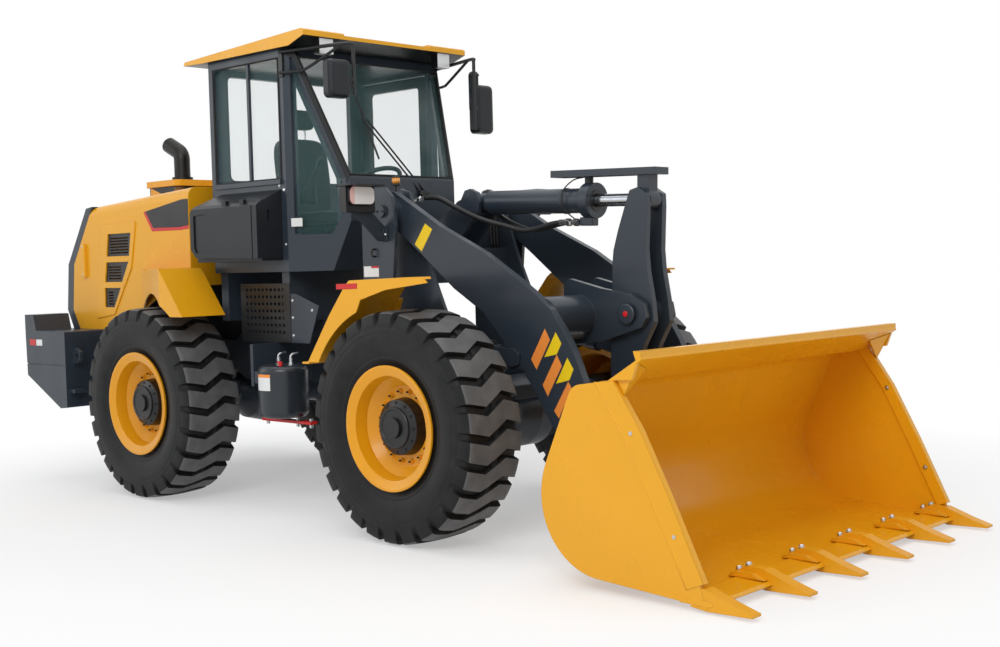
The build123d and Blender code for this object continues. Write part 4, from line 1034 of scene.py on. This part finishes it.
def dress_nodes():
    """CAD nodes in their slots' looks, with the cylinders' forks painted."""
    for name, node in NODES.items():
        node.data.materials.clear()
        node.data.materials.append(LOOKS[SLOT_OF[name]])
    for name, look in (("exhaust", "exhaust_steel"), ("bucket_teeth", "tooth_paint")):
        NODES[name].data.materials[0] = LOOKS[look]
    base, eye = at(*TILT_BASE), at(*TILT_EYE)
    line = (eye - base).normalized()

    def on_tilt_fork(face):
        run, off = from_line(face.center, base, line)
        return off >= TILT_ROD_RADIUS or run >= (eye - base).length - TILT_FORK

    repaint("tilt_rod", "slate_paint", on_tilt_fork)
    for side, _ in SIDES:
        paint_fork(f"lift_rod_{side}")


def paint_fork(name):
    """A lift rod's fork is what stands wider than the rod or beyond its crotch."""
    low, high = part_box(name)
    middle = (low[1] + high[1]) / 2
    crotch = at(LIFT_PIN_X - FORK_REACH, 0, 0).x
    repaint(name, "slate_paint",
            lambda face: abs(face.center.y - middle) > LIFT_ROD_HALF or face.center.x > crotch)


# Camera, floor and light

# Millimetres and degrees, worked out from the photograph
CAMERA_PLACE = (5690.9, -6181.2, 1613.8)
CAMERA_AZIMUTH, CAMERA_PITCH, CAMERA_ROLL = 43.48, 2.69, -1.54
CAMERA_LENS = 48.19
# Metres: half the floor's side, and where its fade to white starts and ends
FLOOR_HALF, FADE_START, FADE_END = 40, 2.6, 5.4
# How white the floor is under the loader, as seen
FLOOR_GLOW = 0.4
# Name, place, target, size and power of each lamp
LAMPS = (("key", (6, -9, 8), (0, 0, 1), (7, 5), 560), ("fill", (-8, -8, 5), (0, 0, 1), (7, 5), 120),
         ("top", (0, 0, 10), (0, 0, 0), (10, 8), 330))


def make_camera():
    data = bpy.data.cameras.new("camera")
    data.lens = CAMERA_LENS
    data.sensor_width = 36
    data.clip_end = 100
    camera = linked("camera", data)
    # It looks along +Y, is pitched down and rolled, and turns by its azimuth
    turn = Matrix.Identity(4)
    for angle, axis in ((CAMERA_AZIMUTH, "Z"), (90 - CAMERA_PITCH, "X"), (CAMERA_ROLL, "Z")):
        turn = turn @ Matrix.Rotation(math.radians(angle), 4, axis)
    camera.matrix_world = Matrix.Translation(at(*CAMERA_PLACE)) @ turn
    bpy.context.scene.camera = camera


def seen_rays(tree):
    """1 for what the camera, mirrors and glass see."""
    path = tree.nodes.new("ShaderNodeLightPath")
    total = path.outputs["Is Camera Ray"]
    for name in ("Is Glossy Ray", "Is Transmission Ray"):
        total = add_math(tree, "MAXIMUM", total, path.outputs[name])
    return total


def mix_seen(tree, factor, lit, seen, out):
    """The first shader, turning to the second by a factor."""
    mix = tree.nodes.new("ShaderNodeMixShader")
    for source, target in ((factor, mix.inputs["Fac"]), (lit.outputs[0], mix.inputs[1]),
                           (seen.outputs[0], mix.inputs[2]), (mix.outputs[0], out.inputs["Surface"])):
        tree.links.new(source, target)


def make_floor():
    """A pale floor that fades to the backdrop's white with distance, and keeps the shadow."""
    mesh = bpy.data.meshes.new("floor")
    corners = [(x * FLOOR_HALF, y * FLOOR_HALF, 0) for x, y in ((-1, -1), (1, -1), (1, 1), (-1, 1))]
    mesh.from_pydata(corners, [], [(0, 1, 2, 3)])
    floor = linked("floor", mesh)
    floor.location.z = -0.001
    material, surface = new_material("floor_pale", (0.93, 0.93, 0.93), 0.9, 0, 0, 0.1)
    tree = material.node_tree
    nodes, links = tree.nodes, tree.links
    glow = nodes.new("ShaderNodeEmission")
    glow.inputs["Color"].default_value = (1, 1, 1, 1)
    place = nodes.new("ShaderNodeTexCoord")
    length = nodes.new("ShaderNodeVectorMath")
    length.operation = "LENGTH"
    links.new(place.outputs["Object"], length.inputs[0])
    fade = nodes.new("ShaderNodeMapRange")
    for socket, value in (("From Min", FADE_START), ("From Max", FADE_END), ("To Min", FLOOR_GLOW)):
        fade.inputs[socket].default_value = value
    links.new(length.outputs["Value"], fade.inputs["Value"])
    seen = add_math(tree, "MULTIPLY", fade.outputs["Result"], seen_rays(tree))
    mix_seen(tree, seen, surface, glow, nodes["Material Output"])
    mesh.materials.append(material)


def make_world():
    """A soft sky light that shows as plain white."""
    world = bpy.data.worlds.new("studio")
    bpy.context.scene.world = world
    world.use_nodes = True
    tree = world.node_tree
    tree.nodes.clear()
    out = tree.nodes.new("ShaderNodeOutputWorld")
    lit, seen = (tree.nodes.new("ShaderNodeBackground") for _ in range(2))
    for shader, colour, strength in ((lit, (0.97, 0.985, 1, 1), 0.5), (seen, (1, 1, 1, 1), 1)):
        shader.inputs["Color"].default_value = colour
        shader.inputs["Strength"].default_value = strength
    mix_seen(tree, seen_rays(tree), lit, seen, out)


def make_lamp(name, place, target, size, power):
    data = bpy.data.lights.new(name, "AREA")
    data.shape = "RECTANGLE"
    data.size, data.size_y = size
    data.energy = power
    lamp = linked(name, data)
    lamp.location = place
    lamp.rotation_euler = (Vector(target) - Vector(place)).to_track_quat("-Z", "Y").to_euler()


make_camera()
make_floor()
make_world()
for row in LAMPS:
    make_lamp(*row)
bpy.context.scene.view_settings.view_transform = "Standard"
dress_nodes()
dress_wheels()
dress_boom()
dress_tilt_head()
dress_tilt_hoses()
dress_bucket()
dress_front()
dress_hood()
dress_cab()
dress_mirrors()
dress_interior()
dress_seat()
dress_tank()
dress_left_side()
